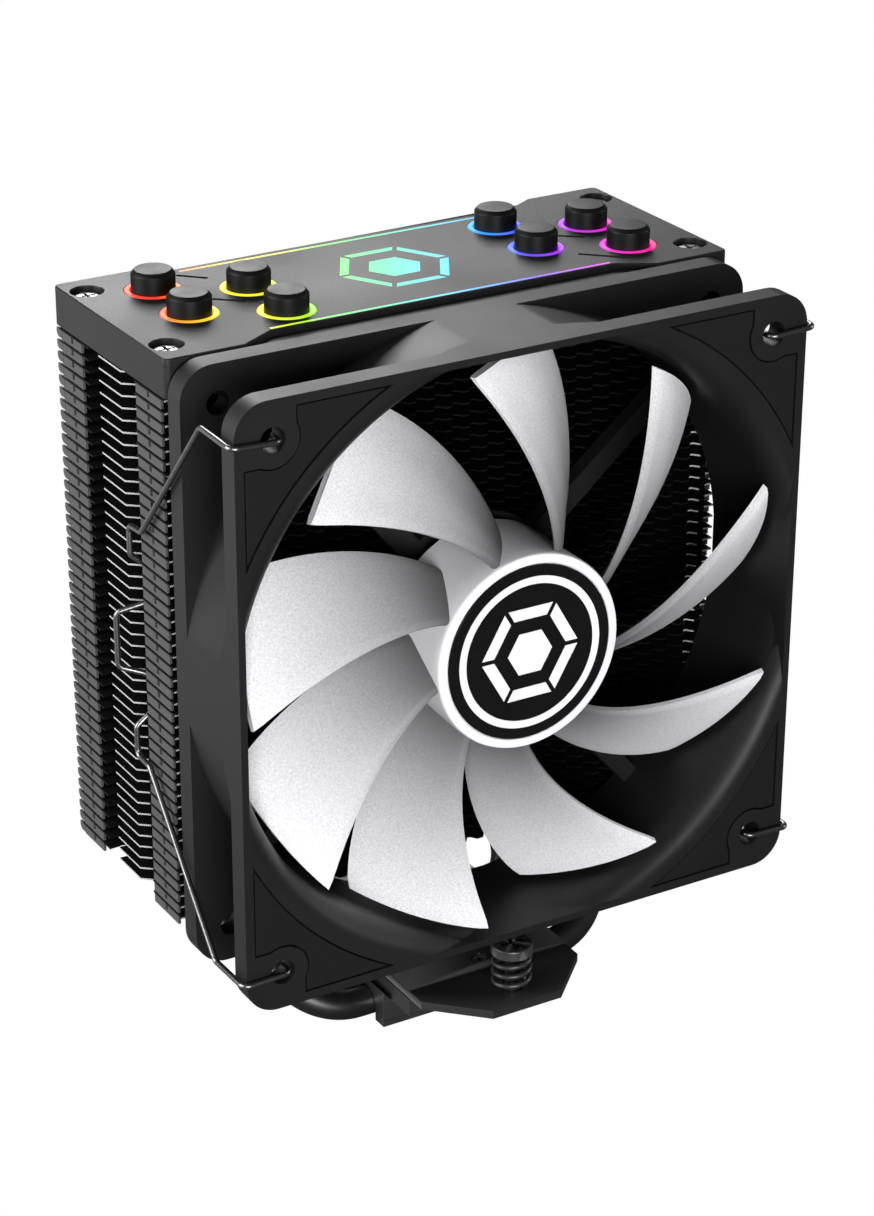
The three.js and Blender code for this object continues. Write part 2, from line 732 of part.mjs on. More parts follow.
// Angles in degrees along the span, anticlockwise seen from the front, of each blade's edges.
const LEADING_ANGLE = [-88.5, 46.4, -19.9, 4.6];
const TRAILING_ANGLE = [-110.4, 35.7, -13.4, 6.3];
// Depths behind the fan's front plane.
const LEADING_DEPTH = [0.95, 0.78, -0.79, 0];
const TRAILING_DEPTH = [11.4, 4.1, 0, 0];

// A blade as a thin block bent to its leading and trailing edges.
function blade(turn) {
  const block = new THREE.BoxGeometry(1, 1, 1, 3, 4, 1);
  const places = block.getAttribute("position");
  for (let i = 0; i < places.count; i++) {
    const chord = places.getX(i) + 0.5;
    const radius = THREE.MathUtils.lerp(BLADES.root, BLADES.tip, places.getY(i) + 0.5);
    const span = Math.max(0, (radius - HUB.radius) / (BLADES.tip - HUB.radius));
    const lead = cubic(LEADING_ANGLE, span);
    const sweep = degrees(cubic(TRAILING_ANGLE, span) - lead) * radius;
    const front = cubic(LEADING_DEPTH, span);
    const depth = cubic(TRAILING_DEPTH, span) - front;
    const { camber } = BLADES;
    const deep = depth * (chord * (1 - camber) + camber * chord * chord);
    const slope = depth * (1 - camber + 2 * camber * chord);
    const half = places.getZ(i) * (BLADES.thickness - BLADES.taper * chord);
    const length = Math.hypot(slope, sweep);
    const angle = degrees(lead + turn) + (sweep * chord + (half * slope) / length) / radius;
    const y = FAN.front + front + deep - (half * sweep) / length;
    places.setXYZ(i, radius * Math.cos(angle), y, radius * Math.sin(angle));
  }
  return solidOf(block);
}

function rotor() {
  const { radius, wall, back } = HUB;
  const front = FAN.front;
  const shell = turnedY(
    [
      [0, front + 0.5], [17.6, front + 0.5], [17.6, front], [radius - 0.4, front],
      [radius, front + 0.4], [radius, back], [radius - wall, back], [radius - wall, front + 1.5],
      [3.2, front + 1.5], [3.2, -31.8], [1.8, -31.8], [1.8, front + 1.8], [0, front + 1.8],
    ],
    32,
  );
  const inside = turnedY(disc(radius - wall / 2, front + 1, back + 1), 32);
  const blades = Array.from({ length: BLADES.count }, (_, k) =>
    blade((360 * k) / BLADES.count).subtract(inside),
  );
  return joined([shell, ...blades]);
}

function shaft() {
  const { radius, front, back, groove, grooveRadius } = SHAFT;
  return turnedY(
    [
      [0, front], [radius, front], [radius, groove[0]], [grooveRadius, groove[0]],
      [grooveRadius, groove[1]], [radius, groove[1]], [radius, back], [0, back],
    ],
    16,
  );
}

// A C-shaped clip in the shaft's groove.
function shaftClip() {
  const { outer, inner, gapAngle, front, back } = SHAFT_CLIP;
  const outline = [
    ...arc(0, 0, outer, gapAngle, 360 - gapAngle, 12),
    ...arc(0, 0, inner, 360 - gapAngle, gapAngle, 12),
  ];
  return slabY(outline, front, back);
}

function addRotor() {
  add(fan, "fan_rotor", rotor(), FROSTED_PLASTIC);
  add(fan, "rotor_yoke", turnedY(ring(...MOTOR.yoke), 24), STEEL);
  add(fan, "magnet_ring", turnedY(ring(...MOTOR.magnets), 24), FERRITE);
  add(fan, "rotor_shaft", shaft(), STEEL);
  add(fan, "shaft_clip", shaftClip(), STEEL);
  add(fan, "hub_badge", turnedY(disc(17.4, FAN.front - 0.2, FAN.front + 0.2), 32), DARK_PLASTIC);
}

// ---- Wire clips ----

// The upper half of a clip's route, in X outward from the middle, Y, and Z from the fan's axis.
// It hooks into the fan's corner hole, crosses the side, lies in the fins' groove and ends at
// the pull tab. The lower half mirrors it.
const CLIP_HALF = [
  [51.4, -36.6, 52.4], [51.4, -39.9, 52.4], [61, -39.9, 52.8], [61, -28.5, 53],
  [61, -3.1, 23.9], [61, 2, 23.6], [61, 2, 17.6], [57.4, 1.5, 14.6], [57.4, 1.5, 7.6],
  [63.3, 4.2, 5.6],
];

function wireClip(side) {
  const upper = CLIP_HALF.map(([x, y, z]) => [side * x, y, z]);
  const lower = upper.map(([x, y, z]) => [x, y, -z]).reverse();
  const corners = [...upper, ...lower];
  const radii = corners.slice(1, -1).map(() => WIRE.bend);
  return tube(bentRoute(corners, radii, 2), WIRE.radius, WIRE.sides);
}

addBase();
addMount();
add(cooler, "fin_stack", finStack(), BLACK_METAL);
addCover();
addFanFrame();
addRotor();
add(fan, "wire_clip_left", wireClip(-1), STEEL);
add(fan, "wire_clip_right", wireClip(1), STEEL);

export default cooler;
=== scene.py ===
"""A tower cooler for a processor, finished for rendering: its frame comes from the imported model."""

import math

import bmesh
import bpy
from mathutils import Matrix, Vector


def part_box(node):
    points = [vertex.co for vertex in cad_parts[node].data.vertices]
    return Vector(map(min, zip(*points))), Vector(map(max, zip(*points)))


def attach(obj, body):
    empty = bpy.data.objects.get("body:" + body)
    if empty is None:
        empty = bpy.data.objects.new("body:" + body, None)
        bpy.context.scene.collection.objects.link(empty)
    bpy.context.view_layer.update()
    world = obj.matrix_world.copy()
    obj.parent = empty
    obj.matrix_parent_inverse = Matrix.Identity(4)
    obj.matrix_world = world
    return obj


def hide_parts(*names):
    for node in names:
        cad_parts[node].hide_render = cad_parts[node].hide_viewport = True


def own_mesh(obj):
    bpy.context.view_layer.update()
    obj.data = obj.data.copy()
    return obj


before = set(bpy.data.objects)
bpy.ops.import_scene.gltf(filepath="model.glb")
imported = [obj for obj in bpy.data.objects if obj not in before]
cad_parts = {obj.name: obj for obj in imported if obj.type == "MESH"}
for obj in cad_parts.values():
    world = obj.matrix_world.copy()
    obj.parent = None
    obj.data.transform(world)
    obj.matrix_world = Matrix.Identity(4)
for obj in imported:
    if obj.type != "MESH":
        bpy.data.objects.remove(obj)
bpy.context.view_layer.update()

bl_info = {
    "name": "Tower cooler",
    "version": (1, 0, 0),
    "blender": (4, 5, 0),
    "location": "View3D > Sidebar > Tower cooler",
    "description": "Builds the visible pieces of a tower cooler on its fixed frame",
    "category": "Add Mesh",
}

MM = 0.001  # every size below is in millimetres


def box_mm(node):
    low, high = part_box(node)
    return low / MM, high / MM


def middle_mm(node):
    low, high = box_mm(node)
    return (low + high) / 2


FAN_LOW, FAN_HIGH = box_mm("fan_frame")
FAN_AXIS = (FAN_LOW.z + FAN_HIGH.z) / 2
FAN_FRONT = FAN_LOW.y
FAN_BACK = FAN_HIGH.y
COVER_LOW, COVER_HIGH = box_mm("top_cover")
FIN_LOW, FIN_HIGH = box_mm("fin_stack")
STACK_Y = (COVER_LOW.y + COVER_HIGH.y) / 2
CAPS = [f"pipe_cap_{i}" for i in range(1, 9)]
COVER_SCREWS = [f"cover_screw_{i}" for i in range(1, 5)]
CAP_PLACES = [middle_mm(cap) for cap in CAPS]
SCREW_PLACES = [middle_mm(screw) for screw in COVER_SCREWS]
CORNERS = [(-1, 1), (1, 1), (1, -1), (-1, -1)]


# ---- Outlines, in millimetres ----


def arc(x, y, radius, start, end, steps):
    angles = [math.radians(start + (end - start) * i / steps) for i in range(steps + 1)]
    return [(x + radius * math.cos(a), y + radius * math.sin(a)) for a in angles]


def circle(x, y, radius, sides, turn=0.0):
    return arc(x, y, radius, turn, turn + 360, sides)[:-1]


def rectangle(x0, y0, x1, y1):
    return [(x0, y0), (x1, y0), (x1, y1), (x0, y1)]


def rounded_rectangle(x0, y0, x1, y1, r, steps=8):
    return (
        arc(x1 - r, y0 + r, r, 270, 360, steps)
        + arc(x1 - r, y1 - r, r, 0, 90, steps)
        + arc(x0 + r, y1 - r, r, 90, 180, steps)
        + arc(x0 + r, y0 + r, r, 180, 270, steps)
    )


def ring(inner, outer, low, high, edge=0.15):
    """The closed profile of a ring with its four edges broken."""
    return [
        (inner + edge, low), (outer - edge, low), (outer, low + edge), (outer, high - edge),
        (outer - edge, high), (inner + edge, high), (inner, high - edge), (inner, low + edge),
    ]


# ---- Meshes ----

PLACE = {
    "X": lambda u, v, h: (h, u, v),
    "Y": lambda u, v, h: (u, h, v),
    "Z": lambda u, v, h: (u, v, h),
}


def loft(loops, closed=False, caps=True):
    """Skins a row of loops that have the same number of points."""
    mesh = bmesh.new()
    rows = [[mesh.verts.new(point) for point in loop] for loop in loops]
    pairs = list(zip(rows, rows[1:])) + ([(rows[-1], rows[0])] if closed else [])
    for row, after in pairs:
        for i, corner in enumerate(row):
            j = (i + 1) % len(row)
            mesh.faces.new((corner, row[j], after[j], after[i]))
    if caps and not closed:
        mesh.faces.new(rows[0])
        mesh.faces.new(rows[-1])
    return mesh


def prism(outline, low, high, axis="Z", shift=(0, 0, 0)):
    place = PLACE[axis]
    shift = Vector(shift)
    return loft([[Vector(place(u, v, h)) + shift for u, v in outline] for h in (low, high)])


def turned(profile, sides, axis="Z", centre=(0, 0, 0), closed=False):
    """Turns (radius, height) points about an axis; an open profile starts and ends on it."""
    place = PLACE[axis]
    centre = Vector(centre)
    loops = []
    for i in range(sides):
        angle = 2 * math.pi * i / sides
        loops.append([
            Vector(place(r * math.cos(angle), r * math.sin(angle), h)) + centre for r, h in profile
        ])
    mesh = bmesh.new()
    rows = [[mesh.verts.new(point) for point in loop] for loop in loops]
    count = len(profile)
    last = count if closed else count - 1
    for row, after in zip(rows, rows[1:] + rows[:1]):
        for i in range(last):
            j = (i + 1) % count
            mesh.faces.new((row[i], row[j], after[j], after[i]))
    bmesh.ops.remove_doubles(mesh, verts=mesh.verts, dist=1e-4)
    return mesh


def bent_route(corners, radius, steps):
    """Stations of (point, direction) through corner points, with the inner corners rounded."""
    points = [Vector(corner) for corner in corners]
    legs = [(b - a).normalized() for a, b in zip(points, points[1:])]
    stations = [(points[0], legs[0])]
    for i in range(1, len(points) - 1):
        before, after = legs[i - 1], legs[i]
        angle = before.angle(after)
        start = points[i] - before * radius * math.tan(angle / 2)
        inward = (after - before * after.dot(before)).normalized()
        centre = start + inward * radius
        for k in range(steps + 1):
            turn = angle * k / steps
            point = centre - inward * radius * math.cos(turn) + before * radius * math.sin(turn)
            stations.append((point, before * math.cos(turn) + inward * math.sin(turn)))
    stations.append((points[-1], legs[-1]))
    return stations


def swept(stations, radius, sides):
    """A round tube along stations, with its end edges broken."""
    normal = stations[0][1].orthogonal().normalized()
    loops = []
    edge = min(0.3, radius / 3)
    last = len(stations) - 1
    for i, (point, direction) in enumerate(stations):
        normal = (normal - direction * normal.dot(direction)).normalized()
        side = direction.cross(normal)
        if i == 0:
            loops.append(section(point, normal, side, radius - edge, sides))
            point = point + direction * edge
        if i == last:
            point = point - direction * edge
        loops.append(section(point, normal, side, radius, sides))
        if i == last:
            loops.append(section(point + direction * edge, normal, side, radius - edge, sides))
    return loft(loops)


def section(point, normal, side, radius, sides):
    angles = [2 * math.pi * k / sides for k in range(sides)]
    return [point + radius * (math.cos(a) * normal + math.sin(a) * side) for a in angles]


def merged(meshes):
    """Several meshes as one, each keeping its own shells."""
    whole = bmesh.new()
    for mesh in meshes:
        data = bpy.data.meshes.new("part")
        mesh.to_mesh(data)
        mesh.free()
        whole.from_mesh(data)
        bpy.data.meshes.remove(data)
    return whole


def made_object(name, mesh):
    """A Blender object from a mesh in millimetres, its faces pointing outwards."""
    bmesh.ops.recalc_face_normals(mesh, faces=mesh.faces)
    bmesh.ops.scale(mesh, vec=(MM, MM, MM), verts=mesh.verts)
    data = bpy.data.meshes.new(name)
    mesh.to_mesh(data)
    mesh.free()
    piece = bpy.data.objects.new(name, data)
    bpy.context.scene.collection.objects.link(piece)
    return piece


def applied(piece):
    """Turns a piece's modifiers into plain mesh."""
    bpy.context.view_layer.update()
    evaluated = piece.evaluated_get(bpy.context.evaluated_depsgraph_get())
    data = bpy.data.meshes.new_from_object(evaluated)
    piece.modifiers.clear()
    piece.data = data
    return piece


def combined(piece, others, operation="DIFFERENCE"):
    """Cuts or joins whole solids; the other solids are used up."""
    tools = [made_object("tool", mesh) for mesh in others]
    for tool in tools:
        boolean = piece.modifiers.new("cut", "BOOLEAN")
        boolean.operation = operation
        boolean.solver = "EXACT"
        boolean.object = tool
    applied(piece)
    for tool in tools:
        bpy.data.objects.remove(tool)
    return piece


def softened(piece, width, segments=2, angle=35):
    """Breaks the sharp edges by a width in millimetres."""
    bevel = piece.modifiers.new("edges", "BEVEL")
    bevel.width = width * MM
    bevel.segments = segments
    bevel.limit_method = "ANGLE"
    bevel.angle_limit = math.radians(angle)
    bevel.miter_outer = "MITER_ARC"
    bevel.harden_normals = False
    return applied(piece)


def refined(node, width):
    """A copy of a node with its facets joined and its edges broken."""
    mesh = bmesh.new()
    mesh.from_mesh(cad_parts[node].data)
    bmesh.ops.remove_doubles(mesh, verts=mesh.verts, dist=2e-6)
    bmesh.ops.dissolve_limit(mesh, angle_limit=math.radians(4), verts=mesh.verts, edges=mesh.edges)
    bmesh.ops.scale(mesh, vec=(1 / MM, 1 / MM, 1 / MM), verts=mesh.verts)
    return softened(made_object(node + "_finished", mesh), width)


def finished(piece, material, body, slot, *nodes, smooth=32):
    """Gives a piece its material and shading, hangs it on what it rides on, and hides the nodes it
    stands for.
    """
    if material is not None:
        piece.data.materials.clear()
        piece.data.materials.append(material)
    piece.data.shade_smooth()
    piece.data.set_sharp_from_angle(angle=math.radians(smooth))
    weighted = piece.modifiers.new("weighted normals", "WEIGHTED_NORMAL")
    weighted.keep_sharp = True
    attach(piece, body)
    if nodes:
        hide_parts(*nodes)
    return piece


def painted(nodes, material):
    """Gives kept nodes a finish."""
    for node in nodes:
        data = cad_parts[node].data
        data.materials.clear()
        data.materials.append(material)


# ---- Shader node groups ----


class Nodes:
    """A node tree whose nodes take each input as a plain value or as a link."""

    def __init__(self, tree):
        self.tree = tree

    def add(self, kind, settings=None, inputs=None):
        node = self.tree.nodes.new(kind)
        for key, value in (settings or {}).items():
            setattr(node, key, value)
        self.feed(node, inputs or {})
        return node

    def feed(self, node, inputs):
        for key, value in inputs.items():
            if isinstance(value, bpy.types.NodeSocket):
                self.tree.links.new(value, node.inputs[key])
            else:
                node.inputs[key].default_value = value


def new_group(name, inputs, outputs):
    tree = bpy.data.node_groups.new(name, "ShaderNodeTree")
    for label, kind, default in inputs:
        socket = tree.interface.new_socket(label, in_out="INPUT", socket_type=kind)
        socket.default_value = default
    for label, kind in outputs:
        tree.interface.new_socket(label, in_out="OUTPUT", socket_type=kind)
    nodes = Nodes(tree)
    return tree, nodes, nodes.add("NodeGroupInput").outputs, nodes.add("NodeGroupOutput")


def noise(nodes, place, per_mm, detail):
    scale = nodes.add("ShaderNodeMath", {"operation": "MULTIPLY"}, {0: per_mm, 1: 1 / MM})
    texture = nodes.add("ShaderNodeTexNoise", None, {
        "Vector": place, "Scale": scale.outputs[0], "Detail": detail})
    return texture.outputs["Fac"]


def grain_group():
    """Fine moulded grain and slow patches: how dark a spot is, and how high."""
    if "moulded_grain" in bpy.data.node_groups:
        return bpy.data.node_groups["moulded_grain"]
    tree, nodes, given, out = new_group(
        "moulded_grain",
        [("Grain per mm", "NodeSocketFloat", 3.0), ("Patches per mm", "NodeSocketFloat", 0.05)],
        [("Tone", "NodeSocketFloat"), ("Patch", "NodeSocketFloat"), ("Height", "NodeSocketFloat")],
    )
    place = nodes.add("ShaderNodeTexCoord").outputs["Object"]
    fine = noise(nodes, place, given["Grain per mm"], 3.0)
    slow = noise(nodes, place, given["Patches per mm"], 2.0)
    nodes.feed(out, {"Tone": fine, "Patch": slow, "Height": fine})
    return tree


def brushed_group():
    """Drawn or brushed metal: fine lines that run along one axis."""
    if "drawn_lines" in bpy.data.node_groups:
        return bpy.data.node_groups["drawn_lines"]
    tree, nodes, given, out = new_group(
        "drawn_lines",
        [("Stretch", "NodeSocketVector", (1.0, 0.04, 1.0)),
         ("Lines per mm", "NodeSocketFloat", 4.0)],
        [("Tone", "NodeSocketFloat"), ("Height", "NodeSocketFloat")],
    )
    place = nodes.add("ShaderNodeTexCoord").outputs["Object"]
    stretch = nodes.add("ShaderNodeVectorMath", {"operation": "MULTIPLY"}, {
        0: place, 1: given["Stretch"]})
    lines = noise(nodes, stretch.outputs[0], given["Lines per mm"], 2.0)
    nodes.feed(out, {"Tone": lines, "Height": lines})
    return tree


def edge_highlight_group():
    """A painted highlight where edges stand proud: a mask from the surface's convexity."""
    if "painted_edge_highlight" in bpy.data.node_groups:
        return bpy.data.node_groups["painted_edge_highlight"]
    tree, nodes, given, out = new_group(
        "painted_edge_highlight",
        [("Start", "NodeSocketFloat", 0.53), ("Full", "NodeSocketFloat", 0.62)],
        [("Mask", "NodeSocketFloat")],
    )
    shape = nodes.add("ShaderNodeNewGeometry")
    proud = nodes.add("ShaderNodeMapRange", {"clamp": True}, {
        "Value": shape.outputs["Pointiness"], "From Min": given["Start"],
        "From Max": given["Full"]})
    nodes.feed(out, {"Mask": proud.outputs["Result"]})
    return tree


NOISE_SPAN = {"From Min": 0.3, "From Max": 0.7}  # where most of the noise's values lie
RELIEF = 0.6  # strength of every bump


def mixed(nodes, factor, first, second):
    mix = nodes.add("ShaderNodeMix", {"data_type": "RGBA"}, {
        "Factor": factor, "A": first, "B": second})
    return mix.outputs["Result"]


def new_material(name):
    material = bpy.data.materials.new(name)
    material.use_nodes = True
    return material, Nodes(material.node_tree), material.node_tree.nodes["Principled BSDF"]


def grey(value):
    """A grey a little towards blue."""
    return (value, value, value * 1.03, 1)


# ---- Materials of this cooler ----

HUB_RADIUS = 19.5
BLADE_PAINTED_SHADE_ENDS = 54  # the radius from which a blade has no more painted shade, only its full paleness
# painted shade: the colour that a blade darkens to at the hub
BLADE_PAINTED_SHADE_AT_HUB = grey(0.1)
BARE_METAL = grey(0.42)

FINE_METAL_LINES = (1.0, 0.05, 1.0)
# Name: darkest and lightest colour, roughness from and to, depth of the relief in mm, and the
# rest: grain and patches per mm, specular level, metallic, direction of lines, painted edge
# highlight.
FINISHES = {
    "black frame plastic": (grey(0.006), grey(0.011), (0.44, 0.54), 0.02,
                            {"grain": (5.0, 0.04), "specular": 0.3}),
    "corner pad rubber": (grey(0.004), grey(0.007), (0.62, 0.72), 0.02,
                          {"grain": (5.0, 0.05), "specular": 0.22}),
    "charcoal cover": (grey(0.005), grey(0.016), (0.44, 0.54), 0.05,
                       {"grain": (2.6, 0.03), "specular": 0.28}),
    "black pipe cap": (grey(0.003), grey(0.005), (0.4, 0.5), 0.006,
                       {"grain": (6.0, 0.2), "specular": 0.2}),
    "frosted blade": (grey(0.7), grey(0.97), (0.5, 0.6), 0.03, {"grain": (2.8, 0.03)}),
    "glossy hub ring": (grey(0.88), grey(0.92), (0.16, 0.22), 0.002, {"grain": (2.0, 0.05)}),
    "badge black": (grey(0.004), grey(0.006), (0.18, 0.26), 0.002,
                    {"grain": (2.0, 0.1), "specular": 0.3}),
    "polished wire": (grey(0.14), grey(0.22), (0.28, 0.36), 0.003,
                      {"metallic": 1.0, "lines": FINE_METAL_LINES}),
    "screw steel": (grey(0.5), grey(0.62), (0.26, 0.36), 0.004,
                    {"metallic": 1.0, "grain": (6.0, 0.2)}),
    # its edge colour is a painted highlight on proud edges
    "blackened steel": (grey(0.005), grey(0.009), (0.3, 0.4), 0.006,
                        {"grain": (4.0, 0.06), "edge": grey(0.09)}),
    "milled cold plate": (grey(0.16), grey(0.26), (0.32, 0.42), 0.006,
                          {"metallic": 1.0, "lines": (0.04, 1.0, 1.0)}),
    "copper and bronze": ((0.35, 0.16, 0.07, 1), (0.5, 0.25, 0.11, 1), (0.3, 0.4), 0.006,
                          {"metallic": 1.0}),
    "ferrite": ((0.03, 0.026, 0.024, 1), (0.05, 0.045, 0.04, 1), (0.6, 0.7), 0.02, {}),
    "circuit board": ((0.008, 0.05, 0.024, 1), (0.012, 0.08, 0.04, 1), (0.35, 0.45), 0.004, {}),
    "coated fin": (grey(0.003), grey(0.006), (0.5, 0.6), 0.004, {"specular": 0.1}),
    "pale floor": (grey(0.1), grey(0.12), (0.6, 0.7), 0.01, {"grain": (0.2, 0.002)}),
}


def finish(name):
    """A finish whose colour and roughness vary with grain, patches and any painted edge highlight."""
    if name in bpy.data.materials:
        return bpy.data.materials[name]
    dark, light, (smooth, rough), bump, rest = FINISHES[name]
    fine, slow = rest.get("grain", (3.0, 0.05))
    material, nodes, shader = new_material(name)
    texture = nodes.add("ShaderNodeGroup", {"node_tree": grain_group()}, {
        "Grain per mm": fine, "Patches per mm": slow})
    drawn = texture
    if "lines" in rest:
        drawn = nodes.add("ShaderNodeGroup", {"node_tree": brushed_group()}, {
            "Stretch": rest["lines"]})
    spread = nodes.add("ShaderNodeMapRange", None, {"Value": drawn.outputs["Tone"], **NOISE_SPAN})
    colour = mixed(nodes, spread.outputs["Result"], dark, light)
    # Painted highlight: proud edges turn towards the edge colour.
    if "edge" in rest:
        edge_highlight = nodes.add("ShaderNodeGroup", {"node_tree": edge_highlight_group()})
        colour = mixed(nodes, edge_highlight.outputs["Mask"], colour, rest["edge"])
    polish = nodes.add("ShaderNodeMapRange", None, {
        "Value": texture.outputs["Patch"], **NOISE_SPAN, "To Min": smooth, "To Max": rough})
    relief = nodes.add("ShaderNodeBump", None, {
        "Height": drawn.outputs["Height"], "Strength": RELIEF, "Distance": bump * MM})
    nodes.feed(shader, {
        "Base Color": colour, "Roughness": polish.outputs["Result"],
        "Normal": relief.outputs["Normal"], "Metallic": rest.get("metallic", 0.0),
        "Specular IOR Level": rest.get("specular", 0.5)})
    return material


def blade_plastic():
    """Frosted white with a painted shade that darkens it towards the hub."""
    material = finish("frosted blade")
    if "radius" in material.node_tree.nodes:
        return material
    nodes = Nodes(material.node_tree)
    shader = material.node_tree.nodes["Principled BSDF"]
    pale = shader.inputs["Base Color"].links[0].from_socket
    place = nodes.add("ShaderNodeTexCoord").outputs["Object"]
    about = nodes.add("ShaderNodeVectorMath", {"operation": "SUBTRACT"}, {
        0: place, 1: (0, 0, FAN_AXIS * MM)})
    across = nodes.add("ShaderNodeVectorMath", {"operation": "MULTIPLY"}, {
        0: about.outputs[0], 1: (1, 0, 1)})
    radius = nodes.add("ShaderNodeVectorMath", {"operation": "LENGTH", "name": "radius"}, {
        0: across.outputs[0]})
    # Painted shade: the blade's colour darkens from its own pale grain towards the hub.
    outward = nodes.add("ShaderNodeMapRange", None, {
        "Value": radius.outputs["Value"], "From Min": HUB_RADIUS * MM,
        "From Max": BLADE_PAINTED_SHADE_ENDS * MM})
    painted_shade = mixed(nodes, outward.outputs["Result"], BLADE_PAINTED_SHADE_AT_HUB, pale)
    nodes.feed(shader, {"Base Color": painted_shade})
    return material


RAINBOW = [
    (0.00, (1.0, 0.02, 0.0)), (0.035, (1.0, 0.22, 0.0)), (0.09, (1.0, 0.6, 0.0)),
    (0.16, (1.0, 0.88, 0.0)), (0.24, (0.75, 0.92, 0.0)), (0.31, (0.14, 0.8, 0.02)),
    (0.42, (0.02, 0.75, 0.3)), (0.54, (0.02, 0.6, 0.75)), (0.63, (0.0, 0.3, 1.0)),
    (0.71, (0.1, 0.05, 0.9)), (0.80, (0.45, 0.0, 0.8)), (0.89, (0.8, 0.0, 0.5)),
    (1.00, (1.0, 0.0, 0.06)),
]
RAINBOW_SLANT = -0.55  # how much further along the colours run towards the front
RAINBOW_HALF = 56  # half the width that the colours spread over
RAINBOW_STRENGTH = 1.15


def lit_plastic():
    """Clear plastic that glows in a rainbow from left to right."""
    if "rainbow light" in bpy.data.materials:
        return bpy.data.materials["rainbow light"]
    material, nodes, shader = new_material("rainbow light")
    half = RAINBOW_HALF * MM
    place = nodes.add("ShaderNodeTexCoord").outputs["Object"]
    parts = nodes.add("ShaderNodeSeparateXYZ", None, {0: place})
    slanted = nodes.add("ShaderNodeMath", {"operation": "MULTIPLY_ADD"}, {
        0: parts.outputs["Y"], 1: RAINBOW_SLANT, 2: parts.outputs["X"]})
    along = nodes.add("ShaderNodeMapRange", None, {
        "Value": slanted.outputs[0], "From Min": -half, "From Max": half})
    ramp = nodes.add("ShaderNodeValToRGB", None, {"Fac": along.outputs["Result"]})
    stops = ramp.color_ramp.elements
    while len(stops) < len(RAINBOW):
        stops.new(0.5)
    for stop, (position, colour) in zip(stops, RAINBOW):
        stop.position = position
        stop.color = (*colour, 1)
    nodes.feed(shader, {
        "Base Color": grey(0.05), "Roughness": 0.5, "Emission Color": ramp.outputs["Color"],
        "Emission Strength": RAINBOW_STRENGTH})
    return material


def fin_metal():
    """Black-coated fins whose cut edges are bare."""
    material = finish("coated fin")
    if "bare edge" in material.node_tree.nodes:
        return material
    nodes = Nodes(material.node_tree)
    shader = material.node_tree.nodes["Principled BSDF"]
    coated = shader.inputs["Base Color"].links[0].from_socket
    edge = nodes.add("ShaderNodeAttribute", {"attribute_name": "bare_edge", "name": "bare edge"})
    nodes.feed(shader, {"Base Color": mixed(nodes, edge.outputs["Fac"], coated, BARE_METAL)})
    return material


# ---- Repeats ----


def repeat_tree():
    """Copies of a piece along a step, each turned further about the Y axis."""
    if "repeated piece" in bpy.data.node_groups:
        return bpy.data.node_groups["repeated piece"]
    tree = bpy.data.node_groups.new("repeated piece", "GeometryNodeTree")
    sockets = (
        ("Geometry", "NodeSocketGeometry"), ("Count", "NodeSocketInt"),
        ("Start", "NodeSocketVector"), ("Step", "NodeSocketVector"),
        ("Turn", "NodeSocketFloat"), ("Material", "NodeSocketMaterial"),
    )
    for label, kind in sockets:
        tree.interface.new_socket(label, in_out="INPUT", socket_type=kind)
    tree.interface.new_socket("Geometry", in_out="OUTPUT", socket_type="NodeSocketGeometry")
    nodes = Nodes(tree)
    given = nodes.add("NodeGroupInput").outputs
    out = nodes.add("NodeGroupOutput")
    line = nodes.add("GeometryNodeMeshLine", {"mode": "OFFSET"}, {
        "Count": given["Count"], "Start Location": given["Start"], "Offset": given["Step"]})
    index = nodes.add("GeometryNodeInputIndex")
    angle = nodes.add("ShaderNodeMath", {"operation": "MULTIPLY"}, {
        0: index.outputs[0], 1: given["Turn"]})
    turn = nodes.add("ShaderNodeCombineXYZ", None, {"Y": angle.outputs[0]})
    copies = nodes.add("GeometryNodeInstanceOnPoints", None, {
        "Points": line.outputs[0], "Instance": given["Geometry"], "Rotation": turn.outputs[0]})
    real = nodes.add("GeometryNodeRealizeInstances", None, {0: copies.outputs[0]})
    coated = nodes.add("GeometryNodeSetMaterial", None, {
        "Geometry": real.outputs[0], "Material": given["Material"]})
    nodes.feed(out, {0: coated.outputs[0]})
    return tree


def repeated(piece, material, count, start, step, turn=0.0):
    """Turns one piece into its whole row or ring."""
    tree = repeat_tree()
    names = {item.name: item.identifier for item in tree.interface.items_tree
             if item.in_out == "INPUT"}
    modifier = piece.modifiers.new("repeat", "NODES")
    modifier.node_group = tree
    modifier[names["Count"]] = count
    modifier[names["Start"]] = [value * MM for value in start]
    modifier[names["Step"]] = [value * MM for value in step]
    modifier[names["Turn"]] = math.radians(turn)
    modifier[names["Material"]] = material
    return applied(piece)


# ---- Sizes that a user would change ----


def length(name, description, default, low=0.05, high=200.0):
    return bpy.props.FloatProperty(
        name=name, description=description, default=default, min=low, max=high, precision=2,
    )


